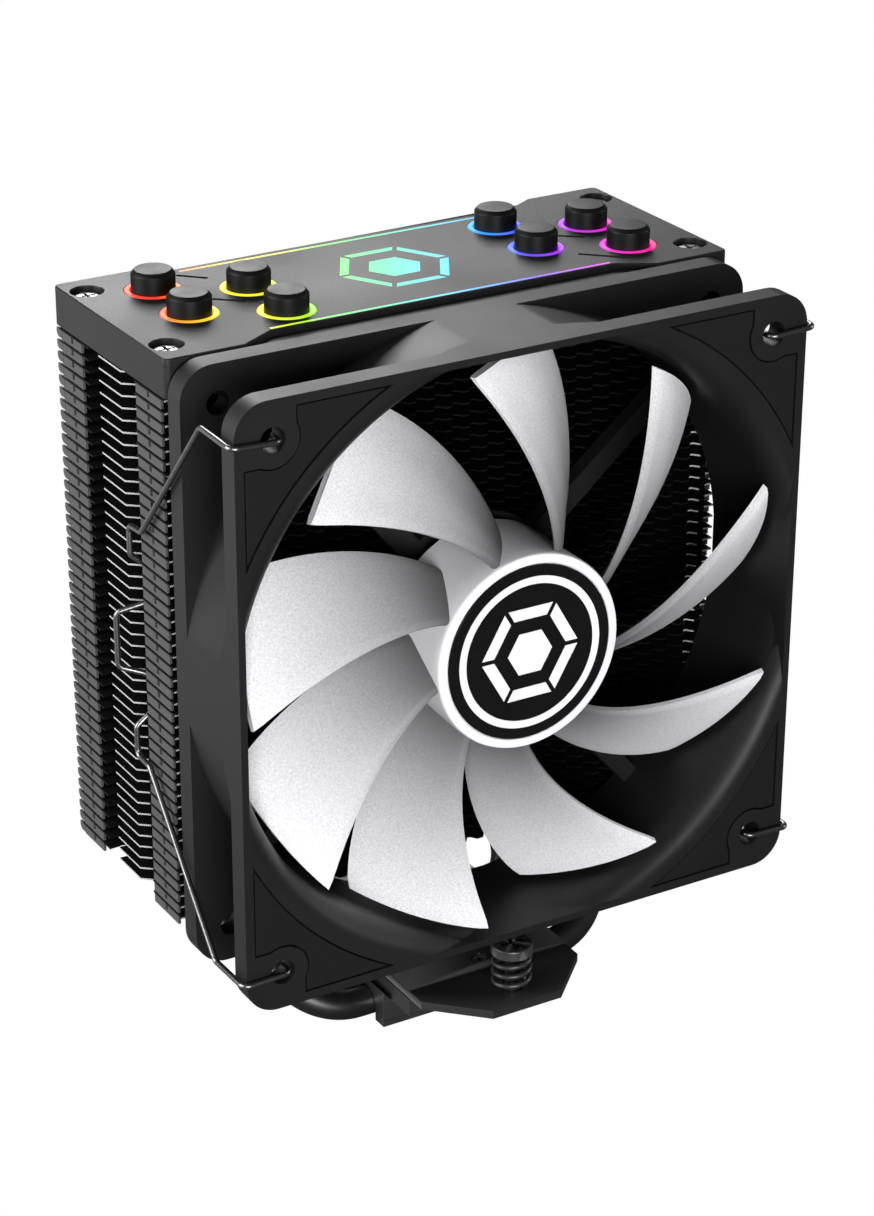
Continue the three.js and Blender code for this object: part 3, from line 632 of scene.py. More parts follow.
class CoolerSizes(bpy.types.PropertyGroup):
    fin_count: bpy.props.IntProperty(
        name="Fins", description="Number of fins in the stack", default=45, min=2, max=80)
    fin_thickness: length("Fin thickness", "Thickness of each fin in mm", 0.34)
    tooth_pitch: length("Tooth pitch", "Spacing of the teeth on the fins' edges in mm", 3.9)
    tooth_depth: length("Tooth depth", "Depth of the teeth on the fins' edges in mm", 1.3)
    blade_count: bpy.props.IntProperty(
        name="Blades", description="Number of fan blades", default=9, min=3, max=15)
    blade_thickness: length(
        "Blade thickness", "Thickness of a blade near its front edge in mm", 1.7)
    blade_tip: length("Blade tip", "Radius of the blades' tips in mm", 57.2)
    frame_sides: bpy.props.IntProperty(
        name="Frame smoothness", description="Sides of the fan's round openings", default=144,
        min=32)
    pipe_radius: length("Pipe radius", "Radius of the heat pipes in mm", 3.0)
    wire_radius: length("Wire radius", "Radius of the clips' wire in mm", 0.57)
    edge_break: length("Edge break", "Width of the broken edges on moulded parts in mm", 0.35)


def sizes():
    return bpy.context.scene.cooler_sizes


# ---- Cold plate, bracket and spring screws ----


def cross_cutters(x, y, length_mm, width, low, high):
    half, thin = length_mm / 2, width / 2
    return [
        prism(rectangle(x - half, y - thin, x + half, y + thin), low, high),
        prism(rectangle(x - thin, y - half, x + thin, y + half), low, high),
    ]


class COOLER_OT_base(bpy.types.Operator):
    """Finishes the cold plate, the bracket and the two spring screws"""

    bl_idname = "cooler.base"
    bl_label = "Base and bracket"

    def execute(self, context):
        block = refined("base_block", 0.25)
        finished(block, finish("milled cold plate"), "cooler", "cold_plate", "base_block")
        plate = refined("mounting_bracket", 0.3)
        finished(plate, finish("blackened steel"), "cooler", "black_steel", "mounting_bracket")
        painted(["bracket_screw_front", "bracket_screw_back"], finish("blackened steel"))
        painted(["retaining_ring_front", "retaining_ring_back"], finish("screw steel"))
        for where in ("front", "back"):
            self.spring_screw(where)
            self.spring(where)
        return {"FINISHED"}

    def spring_screw(self, where):
        node = f"spring_screw_{where}"
        low, high = box_mm(node)
        x, y = middle_mm(node).xy
        head = (high.x - low.x) / 2
        shank, rim = 1.7, 2.24
        profile = [(0, low.z), (shank - 0.5, low.z), (shank, low.z + 0.6)]
        threads = 2
        for i in range(threads):
            z = low.z + 0.9 + 0.7 * i
            profile += [(shank, z), (shank - 0.28, z + 0.35)]
        profile += [
            (shank, low.z + 2.4), (shank, high.z - rim), (head - 0.2, high.z - rim),
            (head, high.z - rim + 0.2), (head, high.z - 0.5), (head - 0.15, high.z - 0.18),
            (head - 0.5, high.z), (0, high.z),
        ]
        piece = made_object(node + "_finished", turned(profile, 48, "Z", (x, y, 0)))
        combined(piece, cross_cutters(x, y, 5, 1.0, high.z - 1.3, high.z + 1))
        finished(piece, finish("blackened steel"), f"{where}_screw", "black_steel", node)

    def spring(self, where):
        node = f"screw_spring_{where}"
        low, high = box_mm(node)
        centre = middle_mm(node)
        wire = 0.55
        radius = (high.x - low.x) / 2 - wire
        turns, steps = 3, 32
        bottom, top = low.z + wire, high.z - wire
        stations = []
        for i in range(turns * steps + 1):
            angle = 2 * math.pi * i / steps
            rise = (top - bottom) / (turns * 2 * math.pi)
            east, north = radius * math.cos(angle), radius * math.sin(angle)
            point = Vector((centre.x + east, centre.y + north, bottom + rise * angle))
            direction = Vector((-north, east, rise))
            stations.append((point, direction.normalized()))
        piece = made_object(node + "_finished", swept(stations, wire, 14))
        finished(piece, finish("blackened steel"), "cooler", "black_steel", node, smooth=60)
        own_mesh(piece)


# ---- Heat pipes ----

# Under-plate place, left leg and right leg in X and Y, as the frame's four pipes run.
PIPE_ROUTES = [
    (-12, (-45.1, 6.7), (45.3, -0.75), True),
    (-4, (-29.1, -0.75), (29.1, 6.7), False),
    (4, (-45.1, 21.55), (45.3, 14.1), True),
    (12, (-29.1, 14.1), (29.1, 21.55), False),
]


class COOLER_OT_heat_pipes(bpy.types.Operator):
    """Bends the four heat pipes from the cold plate up through the fins"""

    bl_idname = "cooler.heat_pipes"
    bl_label = "Heat pipes"

    def execute(self, context):
        radius = sizes().pipe_radius
        for i, (base_y, left, right, wide) in enumerate(PIPE_ROUTES):
            node = f"heat_pipe_{i + 1}"
            top = box_mm(node)[1].z
            knee, bend = (21, 14) if wide else (28, 9)
            foot = [math.copysign(30 if wide else abs(x), x) for x in (left[0], right[0])]
            corners = [
                (*left, top), (*left, knee), (foot[0], base_y, radius),
                (foot[1], base_y, radius), (*right, knee), (*right, top),
            ]
            route = bent_route(corners, bend, 14)
            piece = made_object(node + "_finished", swept(route, radius, 28))
            finished(piece, finish("blackened steel"), "cooler", "fin_black", node, smooth=60)
        return {"FINISHED"}


# ---- Fins ----

FIN_X = FIN_HIGH.x
TAB_SPANS = [(-10.7, -0.5), (22.2, 30.8)]
TAB_SLITS = [-5.5, 26.4]
TAB_GAP = 0.3
TAB_THICKNESS = 0.5
TAB_ROOT = 0.1  # how far a tab reaches up into its fin
NOTCH_HALF, NOTCH_DEPTH = 0.5, 1.1
LUG = [(30.7, TAB_ROOT), (30.7, -1.55), *arc(32.15, -0.5, 1.05, 270, 360, 6), (33.2, TAB_ROOT)]
PIPE_HOLE = 3.15
BARE_X = 52
BARE_SPANS = [(-13, -10.8), (-0.4, 14.6)]


def toothed(x_from, x_to, root, tip, pitch):
    """Points of a toothed edge between two ends, from one tooth to the next."""
    count = round(abs(x_to - x_from) / pitch)
    step = (x_to - x_from) / count
    points = []
    for i in range(count):
        x = x_from + i * step
        for share, depth in ((0, root), (0.25, tip), (0.6, tip), (0.85, root)):
            points.append((x + share * step, depth))
    return points


class COOLER_OT_fins(bpy.types.Operator):
    """Makes one fin and repeats it up the stack"""

    bl_idname = "cooler.fins"
    bl_label = "Fin stack"

    def execute(self, context):
        count = sizes().fin_count
        top = FIN_HIGH.z - sizes().fin_thickness
        pitch = (top - FIN_LOW.z) / (count - 1)
        fin = made_object("fin_stack_finished", merged([self.plate()] + self.tabs(pitch)))
        combined(fin, [prism(circle(p.x, p.y, PIPE_HOLE, 16), -5, 5) for p in CAP_PLACES])
        self.mark_edges(fin)
        material = fin_metal()
        repeated(fin, material, count, (0, 0, FIN_LOW.z), (0, 0, pitch))
        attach(fin, "cooler")
        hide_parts("fin_stack")
        return {"FINISHED"}

    def plate(self):
        depth, pitch = sizes().tooth_depth, sizes().tooth_pitch
        front, back = FIN_LOW.y + 0.05, FIN_HIGH.y - 0.05
        edge = [
            (FIN_X, 0), (56.6, 0.1), (56.2, 1.0), (56.2, 2.2), (56.6, 2.9), (FIN_X, 5.6),
            (FIN_X, 14.9),
            *arc(57.2, 17.15, 2.5, 290, 70, 10),
            (FIN_X, 19.4),
        ]
        mirror = [(-x, y) for x, y in reversed(edge)]
        outline = (
            toothed(-FIN_X + 1.6, FIN_X - 1.6, front + depth, front, pitch)
            + [(FIN_X - 1.2, front + depth), (FIN_X, front + depth)]
            + edge
            + [(FIN_X, back - depth), (FIN_X - 1.2, back - depth)]
            + toothed(FIN_X - 1.6, -FIN_X + 1.6, back - depth, back, pitch)
            + [(-FIN_X + 1.2, back - depth), (-FIN_X, back - depth)]
            + mirror
            + [(-FIN_X, front + depth), (-FIN_X + 1.2, front + depth)]
        )
        return prism(outline, 0, sizes().fin_thickness)

    def tabs(self, pitch):
        """The folded side tabs reaching down to the fin below, notched where they hook on."""
        tabs = []
        low = -pitch + sizes().fin_thickness + TAB_GAP
        for side in (-1, 1):
            inner = side * FIN_X - (TAB_THICKNESS if side > 0 else 0)
            outlines = [
                [(start, low), (end, low), (end, TAB_ROOT), (slit + NOTCH_HALF, TAB_ROOT),
                 (slit + NOTCH_HALF, -NOTCH_DEPTH), (slit - NOTCH_HALF, -NOTCH_DEPTH),
                 (slit - NOTCH_HALF, TAB_ROOT), (start, TAB_ROOT)]
                for (start, end), slit in zip(TAB_SPANS, TAB_SLITS)
            ]
            outlines.append(LUG)
            tabs += [prism(outline, inner, inner + TAB_THICKNESS, "X") for outline in outlines]
        return tabs

    def mark_edges(self, fin):
        """Marks the cut edges between the tabs as bare metal, and the tabs as a little brighter."""
        layer = fin.data.attributes.new("bare_edge", "FLOAT", "FACE")
        for face in fin.data.polygons:
            upright = abs(face.normal.z) < 0.5
            x, y = abs(face.center.x) / MM, face.center.y / MM
            on_tab = x > FIN_X - 0.6 and face.center.z < 0
            bare = any(start < y < end for start, end in BARE_SPANS)
            edge = upright and x > BARE_X and bare and not on_tab
            layer.data[face.index].value = 0.9 if edge else (0.15 if on_tab else 0.0)


# ---- Cover with its lighting ----


def emblem_bar(k, outer, inner, gap):
    """One side of an open hexagon."""
    def corner(radius, angle):
        return Vector((math.cos(math.radians(angle)), math.sin(math.radians(angle)))) * radius

    ends = [60 * k, 60 * (k + 1)]
    far = [corner(outer, a) for a in ends]
    near = [corner(inner, a) for a in ends]
    along = (far[1] - far[0]).normalized() * gap
    return [tuple(p) for p in (far[0] + along, far[1] - along, near[1] - along, near[0] + along)]


EMBLEM_Y = 10.5
EMBLEM_OUTER, EMBLEM_INNER, EMBLEM_HEART, EMBLEM_GAP = 11.9, 9.9, 5.6, 0.5
STRIP_REACH, STRIP_HALF, STRIP_OFFSET = 36.4, 0.42, 18.2
RAISED_HALF = 19.1  # half the depth of the cover's raised middle
COVER_CORNER = 1.2
COVER_WALL = 1.8
LIGHT_DEPTH = 1.0  # depth of the slots that the light shows through
SHELF_DROP = 1.3  # how far the cover's front and back strips lie below its middle
SHOULDER_OUT, SHOULDER_IN = 44, 36.6  # where the raised middle starts and ends its slant
CUT_FROM, CUT_TO = 142, 148  # the heights between which holes are cut in the cover
CAP_HOLE = 5.6
GROOVES = [
    ((-37.9, 26.6), (-33.5, 22.2)), ((-38.1, 11.3), (-33.5, 7.2)),
    ((36.5, 10.4), (40.5, 7.3)), ((33.9, -0.8), (40.7, -7.3)),
]


def emblem_shapes(margin, low, high):
    shift = (0, EMBLEM_Y, 0)
    bars = [
        prism(emblem_bar(k, EMBLEM_OUTER - margin, EMBLEM_INNER + margin, EMBLEM_GAP + margin),
              low, high, shift=shift)
        for k in range(6)
    ]
    return bars + [prism(circle(0, 0, EMBLEM_HEART - margin, 6), low, high, shift=shift)]


def strip_outlines(margin):
    """The light strips along the front and back edges of the raised middle."""
    outlines = []
    x, thin = STRIP_REACH - margin, STRIP_HALF - margin
    for side in (-1, 1):
        y = STACK_Y + side * STRIP_OFFSET
        outlines.append(rectangle(-x, y - thin, x, y + thin))
    return outlines


class COOLER_OT_cover(bpy.types.Operator):
    """Makes the lit cover, its screws and the caps over the pipe ends"""

    bl_idname = "cooler.cover"
    bl_label = "Cover"

    def execute(self, context):
        self.shell()
        self.light()
        for cap in CAPS:
            self.cap(cap)
        for screw in COVER_SCREWS:
            self.screw(screw)
        tray = refined("cover_tray", 0.15)
        finished(tray, finish("black pipe cap"), "cooler", "dark_plastic", "cover_tray")
        painted(["light_board"], finish("circuit board"))
        return {"FINISHED"}

    def shell(self):
        low, high = COVER_LOW, COVER_HIGH
        shelf = high.z - SHELF_DROP
        body = rounded_rectangle(low.x, low.y, high.x, high.y, COVER_CORNER, 5)
        piece = made_object("top_cover_finished", prism(body, low.z, shelf))
        front, back = STACK_Y - RAISED_HALF, STACK_Y + RAISED_HALF
        corner = COVER_CORNER
        left, right = low.x + corner, high.x - corner
        near, far = low.y + corner, high.y - corner
        raised = [
            *arc(left, near, corner, 180, 270, 5), (-SHOULDER_OUT, low.y), (-SHOULDER_IN, front),
            (SHOULDER_IN, front), (SHOULDER_OUT, low.y), *arc(right, near, corner, 270, 360, 5),
            *arc(right, far, corner, 0, 90, 5), (SHOULDER_OUT, high.y), (SHOULDER_IN, back),
            (-SHOULDER_IN, back), (-SHOULDER_OUT, high.y), *arc(left, far, corner, 90, 180, 5),
        ]
        combined(piece, [prism(raised, shelf - 1, high.z)], "UNION")
        hollow = rectangle(low.x + COVER_WALL, low.y + COVER_WALL,
                           high.x - COVER_WALL, high.y - COVER_WALL)
        cavity = prism(hollow, low.z - 1, high.z - 2.8)
        combined(piece, [cavity])
        softened(piece, sizes().edge_break, 3)
        hole = [(0, CUT_FROM), (CAP_HOLE, CUT_FROM), (CAP_HOLE, CUT_TO), (0, CUT_TO)]
        well = [(0, CUT_FROM), (1.5, CUT_FROM), (1.5, 143.9), (3.1, 143.9), (3.1, 145.7),
                (3.4, 146.2), (3.4, CUT_TO), (0, CUT_TO)]
        cutters = [turned(hole, 48, "Z", (p.x, p.y, 0)) for p in CAP_PLACES]
        cutters += [turned(well, 40, "Z", (p.x, p.y, 0)) for p in SCREW_PLACES]
        cutters += [prism(outline, high.z - LIGHT_DEPTH, high.z + 1)
                    for outline in strip_outlines(0)]
        cutters += emblem_shapes(0, high.z - LIGHT_DEPTH, high.z + 1)
        cutters += [self.groove(start, end) for start, end in GROOVES]
        combined(piece, cutters)
        finished(piece, finish("charcoal cover"), "cooler", "cover_plastic", "top_cover")

    def groove(self, start, end):
        start, end = Vector(start), Vector(end)
        across = (end - start).orthogonal().normalized() * 0.5
        outline = [tuple(p) for p in (start + across, start - across, end - across, end + across)]
        return prism(outline, COVER_HIGH.z - 0.8, COVER_HIGH.z + 1)

    def light(self):
        """Rings, strips and emblem in one clear piece over its sheet."""
        top = COVER_HIGH.z
        shapes = [turned(ring(4.35, 5.5, CUT_FROM, top + 0.08), 64, "Z", (p.x, p.y, 0), closed=True)
                  for p in CAP_PLACES]
        shapes += [prism(outline, top - 0.95, top - 0.02) for outline in strip_outlines(0.02)]
        shapes += emblem_shapes(0.03, top - 0.95, top - 0.02)
        shapes.append(prism(rectangle(-51, -10.2, 51, 30.6), 141.5, 141.9))
        piece = made_object("light_guide_finished", merged(shapes))
        finished(piece, lit_plastic(), "cooler", "light_plastic", "light_guide")

    def cap(self, node):
        low, high = box_mm(node)
        place = middle_mm(node)
        radius = (high.x - low.x) / 2
        profile = [
            (3.3, low.z), (radius, low.z), (radius, high.z - 0.85), (radius - 0.08, high.z - 0.72),
            (radius - 0.66, high.z - 0.06), (radius - 0.8, high.z), (0, high.z),
        ]
        inner = [(0, high.z - 1.2), (3.3, high.z - 1.2)]
        piece = made_object(
            node + "_finished", turned(inner + profile, 56, "Z", (place.x, place.y, 0)))
        finished(piece, finish("black pipe cap"), "cooler", "black_steel", node)

    def screw(self, node):
        low, high = box_mm(node)
        place = middle_mm(node)
        profile = [(0, low.z), (1.2, low.z), (1.2, high.z - 1.0), (2.75, high.z - 0.9),
                   (2.7, high.z - 0.35), (2.2, high.z - 0.08), (1.5, high.z), (0, high.z)]
        piece = made_object(node + "_finished", turned(profile, 40, "Z", (place.x, place.y, 0)))
        combined(piece, cross_cutters(place.x, place.y, 3.2, 0.7, high.z - 0.6, high.z + 1))
        finished(piece, finish("screw steel"), "cooler", "steel", node)


# ---- Fan frame ----

AT_FAN = (0, 0, FAN_AXIS)
HOLE_AT = 52.5  # the screw holes' distance from the axis, each way
FRAME_HALF = 60
FLANGE = 4.6
PAD_RECESS = 1.3


def pad_outline(margin, corner, steps=10):
    """A corner pad: two arms along the edges, joined inside the screw boss."""
    edge, arc_radius, boss = 57.9 + margin, 65.2 - margin, 5.5 - margin
    arm_end = HOLE_AT - 4.9 + margin
    start = math.degrees(math.acos(edge / arc_radius))
    boss_angle = math.degrees(math.asin((HOLE_AT - arm_end) / boss))
    points = [
        (edge, arm_end),
        *arc(HOLE_AT, HOLE_AT, boss, 360 - boss_angle, 90 + boss_angle, 2 * steps),
        (arm_end, edge),
        *arc(0, 0, arc_radius, 90 - start, start, steps),
    ]
    return [(x * corner[0], z * corner[1]) for x, z in points]


class COOLER_OT_fan_frame(bpy.types.Operator):
    """Makes the fan's frame with its corner pads and what the motor seat holds"""

    bl_idname = "cooler.fan_frame"
    bl_label = "Fan frame"

    def execute(self, context):
        self.frame()
        for i, corner in enumerate(CORNERS):
            self.pad(f"front_pad_{i + 1}", corner, FAN_FRONT + 0.06, FAN_FRONT + 1)
            self.pad(f"rear_pad_{i + 1}", corner, FAN_BACK - 1, FAN_BACK - 0.06)
        painted(["bearing_sleeve", "stator"], finish("copper and bronze"))
        painted(["fan_board"], finish("circuit board"))
        return {"FINISHED"}

    def frame(self):
        front, back, sides = FAN_FRONT, FAN_BACK, sizes().frame_sides
        square = rounded_rectangle(-FRAME_HALF, -FRAME_HALF, FRAME_HALF, FRAME_HALF, 6.5, 10)
        duct = made_object("fan_frame_finished", turned([
            (0, front), (63.9, front), (62.3, front + FLANGE), (60.6, front + 7.8), (60.6, back),
            (0, back)], sides, "Y", AT_FAN))
        combined(duct, [prism(square, front, back, "Y", AT_FAN)], "INTERSECT")
        flanges = [prism(square, low, low + FLANGE, "Y", AT_FAN)
                   for low in (front, back - FLANGE)]
        combined(duct, flanges, "UNION")
        flare = [(0, front - 1), (62.9, front - 1), (62.9, front)]
        for angle in (math.radians(a) for a in range(15, 91, 15)):
            flare.append((62.9 - 4 * math.sin(angle), front + 6.6 * (1 - math.cos(angle))))
        flare += [(58.9, back + 1), (0, back + 1)]
        hollow = made_object("hollow", turned(flare, sides, "Y", AT_FAN))
        inside = prism(rectangle(-58.6, -58.6, 58.6, 58.6), front - 2, back + 2, "Y", AT_FAN)
        combined(hollow, [inside], "INTERSECT")
        cutter = bmesh.new()
        cutter.from_mesh(hollow.data)
        bmesh.ops.scale(cutter, vec=(1 / MM, 1 / MM, 1 / MM), verts=cutter.verts)
        bpy.data.objects.remove(hollow)
        combined(duct, [cutter])
        softened(duct, sizes().edge_break, 3)
        cuts = []
        for corner in CORNERS:
            for low, high in ((front - 1, front + PAD_RECESS), (back - PAD_RECESS, back + 1)):
                cuts.append(prism(pad_outline(0.3, corner), low, high, "Y", AT_FAN))
            hole = Vector((corner[0] * HOLE_AT, 0, corner[1] * HOLE_AT + FAN_AXIS))
            bore = [(0, front - 1), (2.9, front - 1), (2.3, front + 0.5), (2.3, back - 0.5),
                    (2.9, back + 1), (0, back + 1)]
            cuts.append(turned(bore, 32, "Y", hole))
        cuts.append(prism(rectangle(20, -61, 25, -53), back - 3.2, back + 1, "Y", AT_FAN))
        combined(duct, cuts)
        combined(duct, self.seat_and_struts(), "UNION")
        finished(duct, finish("black frame plastic"), "cooler", "frame_plastic", "fan_frame")

    def seat_and_struts(self):
        seat = [(3.9, -28), (5.2, -28), (5.2, -17.5), (20, -17.5), (20, -14.8), (19.8, -14.6),
                (3.9, -14.6)]
        shapes = [turned(seat, 72, "Y", AT_FAN, closed=True)]
        for k in range(4):
            angle = math.radians(40 + 90 * k)
            out = Vector((math.cos(angle), math.sin(angle)))
            across = Vector((-out.y, out.x))
            outline = [out * 14 + across * 2.4, out * 59.4 + across * 1.8,
                       out * 59.4 - across * 1.8, out * 14 - across * 2.4]
            shapes.append(prism([tuple(p) for p in outline], -18, -14.7, "Y", AT_FAN))
        return shapes

    def pad(self, node, corner, low, high):
        outline = pad_outline(0, corner)
        piece = made_object(node + "_finished", prism(outline, low, high, "Y", AT_FAN))
        softened(piece, 0.2, 2)
        finished(piece, finish("corner pad rubber"), "cooler", "rubber", node)


# ---- Rotor ----


def cubic(terms, s):
    a, b, c, d = terms
    return a + s * (b + s * (c + s * d))


LEADING_ANGLE = (-88.5, 46.4, -19.9, 4.6)
TRAILING_ANGLE = (-110.4, 35.7, -13.4, 6.3)
LEADING_DEPTH = (0.95, 0.78, -0.79, 0)
TRAILING_DEPTH = (11.4, 4.1, 0, 0)


class COOLER_OT_rotor(bpy.types.Operator):
    """Makes the hub with its badge and the ring of blades"""

    bl_idname = "cooler.rotor"
    bl_label = "Rotor"

    def execute(self, context):
        self.blades()
        self.hub()
        self.badge()
        painted(["rotor_yoke", "rotor_shaft", "shaft_clip"], finish("screw steel"))
        painted(["magnet_ring"], finish("ferrite"))
        return {"FINISHED"}

    def blades(self):
        spans = [i / 22 for i in range(23)]
        piece = made_object("fan_blades_finished", loft([self.section(span) for span in spans]))
        count = sizes().blade_count
        repeated(piece, blade_plastic(), count, (0, 0, FAN_AXIS), (0, 0, 0), 360 / count)
        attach(piece, "rotor")
        piece.data.shade_smooth()
        piece.data.set_sharp_from_angle(angle=math.radians(50))

    def section(self, span):
        """The closed outline of a blade at one radius, its tip's corners drawn in."""
        root, tip = 19.0, sizes().blade_tip
        radius = root + (tip - root) * span
        s = max(0.0, (radius - HUB_RADIUS) / (57.3 - HUB_RADIUS))
        near_tip = max(0.0, (radius - tip + 3.5) / 3.5)
        shorter = 0.012 * near_tip**3
        lead, trail = cubic(LEADING_ANGLE, s), cubic(TRAILING_ANGLE, s)
        sweep = math.radians(trail - lead) * radius
        front = cubic(LEADING_DEPTH, s)
        depth = cubic(TRAILING_DEPTH, s) - front
        steps = 16
        chords = [shorter + (1 - 2 * shorter) * i / steps for i in range(steps + 1)]
        faces = [(c, -0.5) for c in chords] + [(c, 0.5) for c in reversed(chords)]
        points = []
        for chord, side in faces:
            rounding = min(1.0, (min(chord, 1 - chord) + 0.012) / 0.05) ** 0.5
            half = side * (sizes().blade_thickness - 0.9 * chord) * rounding
            deep = depth * (0.65 * chord + 0.35 * chord * chord)
            slope = depth * (0.65 + 0.7 * chord)
            run = math.hypot(slope, sweep)
            angle = math.radians(lead) + (sweep * chord + half * slope / run) / radius
            y = FAN_FRONT + front + deep - half * sweep / run
            points.append(Vector((radius * math.cos(angle), y, radius * math.sin(angle))))
        return points

    def hub(self):
        front, wall = FAN_FRONT, 1.2
        profile = [
            (0, front + 0.5), (17.6, front + 0.5), (17.6, front + 0.05), (17.75, front),
            (HUB_RADIUS - 0.7, front), (HUB_RADIUS - 0.25, front + 0.15), (HUB_RADIUS, front + 0.6),
            (HUB_RADIUS, -20.7), (HUB_RADIUS - 0.2, -20.5), (HUB_RADIUS - wall, -20.5),
            (HUB_RADIUS - wall, front + 1.5), (3.2, front + 1.5), (3.2, -31.8), (1.8, -31.8),
            (1.8, front + 1.8), (0, front + 1.8),
        ]
        piece = made_object("fan_hub_finished", turned(profile, 128, "Y", AT_FAN))
        finished(piece, finish("glossy hub ring"), "rotor", "frosted_plastic", "fan_rotor")

    def badge(self):
        low, high = box_mm("hub_badge")
        front, back, radius = low.y, high.y, 17.4
        disc = [(0, back), (radius, back), (radius, front + 0.15), (radius - 0.1, front + 0.06),
                (0, front + 0.06)]
        piece = made_object("hub_badge_finished", turned(disc, 128, "Y", AT_FAN))
        finished(piece, finish("badge black"), "rotor", "dark_plastic", "hub_badge")
        shapes = [turned(ring(13.7, 15.2, front, back, 0.02), 128, "Y", AT_FAN, closed=True)]
        shapes += [prism(emblem_bar(k, 10.6, 8.0, 0.5), front, back, "Y", AT_FAN) for k in range(6)]
        shapes.append(prism(circle(0, 0, 4.8, 6), front, back, "Y", AT_FAN))
        mark = made_object("hub_mark_finished", merged(shapes))
        finished(mark, finish("glossy hub ring"), "rotor", "frosted_plastic")


# ---- Wire clips ----

# Upper half of a clip's route: X outward, Y, and height above the fan's axis.
CLIP_HALF = [
    (51.4, -36.6, 52.4), (51.4, -39.9, 52.4), (61, -39.9, 52.8), (61, -28.5, 53),
    (61, -3.1, 23.9), (61, 2, 23.6), (61, 2, 17.6), (57.4, 1.5, 14.6), (57.4, 1.5, 7.6),
    (63.3, 4.2, 5.6),
]


class COOLER_OT_clips(bpy.types.Operator):
    """Bends the two wire clips that hold the fan"""

    bl_idname = "cooler.clips"
    bl_label = "Wire clips"

    def execute(self, context):
        for side, name in ((-1, "left"), (1, "right")):
            upper = [(side * x, y, FAN_AXIS + z) for x, y, z in CLIP_HALF]
            lower = [(x, y, 2 * FAN_AXIS - z) for x, y, z in reversed(upper)]
            route = bent_route(upper + lower, 1.4, 6)
            node = f"wire_clip_{name}"
            piece = made_object(node + "_finished", swept(route, sizes().wire_radius, 16))
            finished(piece, finish("polished wire"), f"clip_{name}", "steel", node, smooth=60)
        return {"FINISHED"}


# ---- Stage ----

WHITE = (1, 1, 1, 1)
SEEN_WHITE = 1.0  # how bright the floor and the room look to the camera
FLOOR_GLOW = 0.7
ROOM_LIGHT = 0.07
LIGHTS = [  # name, place, width and power
    ("key", (-1000, 260, 420), 850, 19.0),
    ("front", (-420, -1000, 160), 600, 16.5),
    ("top", (300, 900, 700), 500, 8.0),
    ("right", (900, -300, 300), 300, 2.0),
]
LIGHTS_AIM = (0, 0, 80)
CAMERA_AT = (-290.36, -493.52, 343.24)
CAMERA_TARGET = (-24.869, -39.0, 102.388)


def white_to_camera(nodes, kind, lit, output):
    """The camera sees plain white, and the light comes from the other shader."""
    white = nodes.add(kind, None, {"Color": WHITE, "Strength": SEEN_WHITE})
    seen = nodes.add("ShaderNodeLightPath")
    mix = nodes.add("ShaderNodeMixShader", None, {
        "Fac": seen.outputs["Is Camera Ray"], 1: lit.outputs[0], 2: white.outputs[0]})
    nodes.feed(output, {"Surface": mix.outputs[0]})


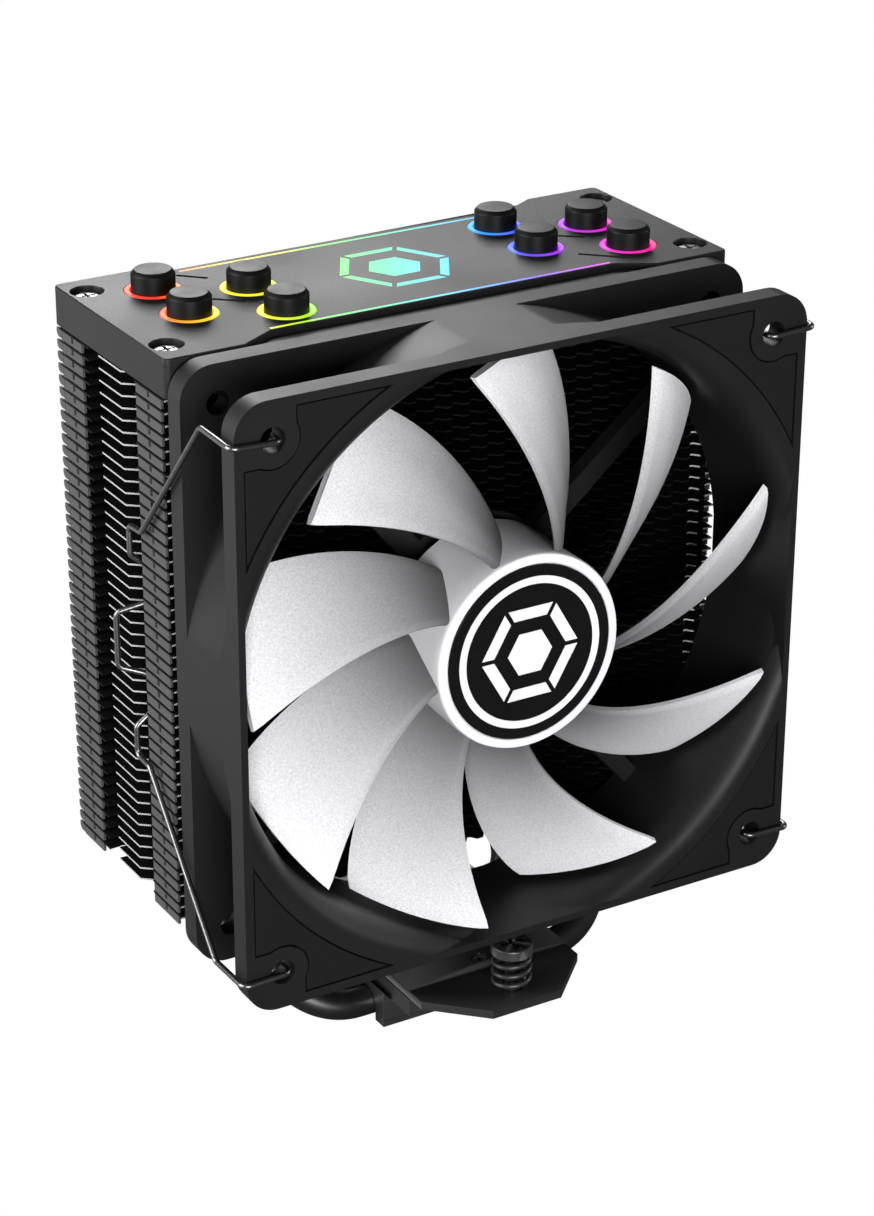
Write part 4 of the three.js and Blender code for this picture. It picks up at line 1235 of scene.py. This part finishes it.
class COOLER_OT_stage(bpy.types.Operator):
    """Sets the pale floor, the studio lights and the camera"""

    bl_idname = "cooler.stage"
    bl_label = "Stage"

    def execute(self, context):
        context.scene.view_settings.view_transform = "Standard"
        self.camera()
        self.floor()
        self.world()
        for name, place, size, power in LIGHTS:
            self.light(name, place, size, power)
        return {"FINISHED"}

    def camera(self):
        data = bpy.data.cameras.new("camera")
        data.lens = 95.92
        data.sensor_width = 36
        data.shift_x = 0.01968
        data.shift_y = -0.00773
        camera = bpy.data.objects.new("camera", data)
        camera.location = Vector(CAMERA_AT) * MM
        ahead = (Vector(CAMERA_TARGET) - Vector(CAMERA_AT)).normalized()
        camera.rotation_euler = ahead.to_track_quat("-Z", "Y").to_euler()
        bpy.context.scene.collection.objects.link(camera)
        bpy.context.scene.camera = camera

    def floor(self):
        piece = made_object("floor", prism(circle(0, 0, 9000, 96), -12, -0.05))
        material = finish("pale floor")
        self.floor_light(material)
        piece.data.materials.append(material)

    def floor_light(self, material):
        """Only the floor behind the cooler throws light onto it."""
        tree = material.node_tree
        nodes = Nodes(tree)
        glow = nodes.add("ShaderNodeEmission", None, {"Color": WHITE, "Strength": FLOOR_GLOW})
        place = nodes.add("ShaderNodeTexCoord").outputs["Object"]
        behind = nodes.add("ShaderNodeVectorMath", {"operation": "DOT_PRODUCT"}, {
            0: place, 1: (-0.5, 1, 0)})
        fade = nodes.add("ShaderNodeMapRange", None, {
            "Value": behind.outputs["Value"], "From Min": 0.0, "From Max": 0.4})
        lit = nodes.add("ShaderNodeMixShader", None, {
            "Fac": fade.outputs["Result"], 1: tree.nodes["Principled BSDF"].outputs[0],
            2: glow.outputs[0]})
        white_to_camera(nodes, "ShaderNodeEmission", lit, tree.nodes["Material Output"])

    def world(self):
        world = bpy.data.worlds.new("studio")
        world.use_nodes = True
        bpy.context.scene.world = world
        nodes = Nodes(world.node_tree)
        dim = world.node_tree.nodes["Background"]
        nodes.feed(dim, {"Color": (0.95, 0.97, 1.0, 1), "Strength": ROOM_LIGHT})
        output = world.node_tree.nodes["World Output"]
        white_to_camera(nodes, "ShaderNodeBackground", dim, output)

    def light(self, name, place, size, power):
        data = bpy.data.lights.new(name, "AREA")
        data.energy = power
        data.size = size * MM
        lamp = bpy.data.objects.new(name, data)
        lamp.location = Vector(place) * MM
        ahead = Vector(LIGHTS_AIM) - Vector(place)
        lamp.rotation_euler = ahead.to_track_quat("-Z", "Y").to_euler()
        bpy.context.scene.collection.objects.link(lamp)


# ---- Add-on ----

OPERATORS = (
    COOLER_OT_base, COOLER_OT_heat_pipes, COOLER_OT_fins, COOLER_OT_cover, COOLER_OT_fan_frame,
    COOLER_OT_rotor, COOLER_OT_clips, COOLER_OT_stage,
)


class COOLER_PT_panel(bpy.types.Panel):
    """Sizes of the cooler, and a button for each group of pieces"""

    bl_idname = "COOLER_PT_panel"
    bl_label = "Tower cooler"
    bl_space_type = "VIEW_3D"
    bl_region_type = "UI"
    bl_category = "Tower cooler"

    def draw(self, context):
        for name in CoolerSizes.__annotations__:
            self.layout.prop(context.scene.cooler_sizes, name)
        for operator in OPERATORS:
            self.layout.operator(operator.bl_idname)


CLASSES = (CoolerSizes, *OPERATORS, COOLER_PT_panel)


def register():
    for item in CLASSES:
        bpy.utils.register_class(item)
    bpy.types.Scene.cooler_sizes = bpy.props.PointerProperty(type=CoolerSizes)


def unregister():
    del bpy.types.Scene.cooler_sizes
    for item in reversed(CLASSES):
        bpy.utils.unregister_class(item)


def main():
    register()
    for operator in OPERATORS:
        getattr(bpy.ops.cooler, operator.bl_idname.split(".")[1])()


if __name__ == "__main__":
    main()
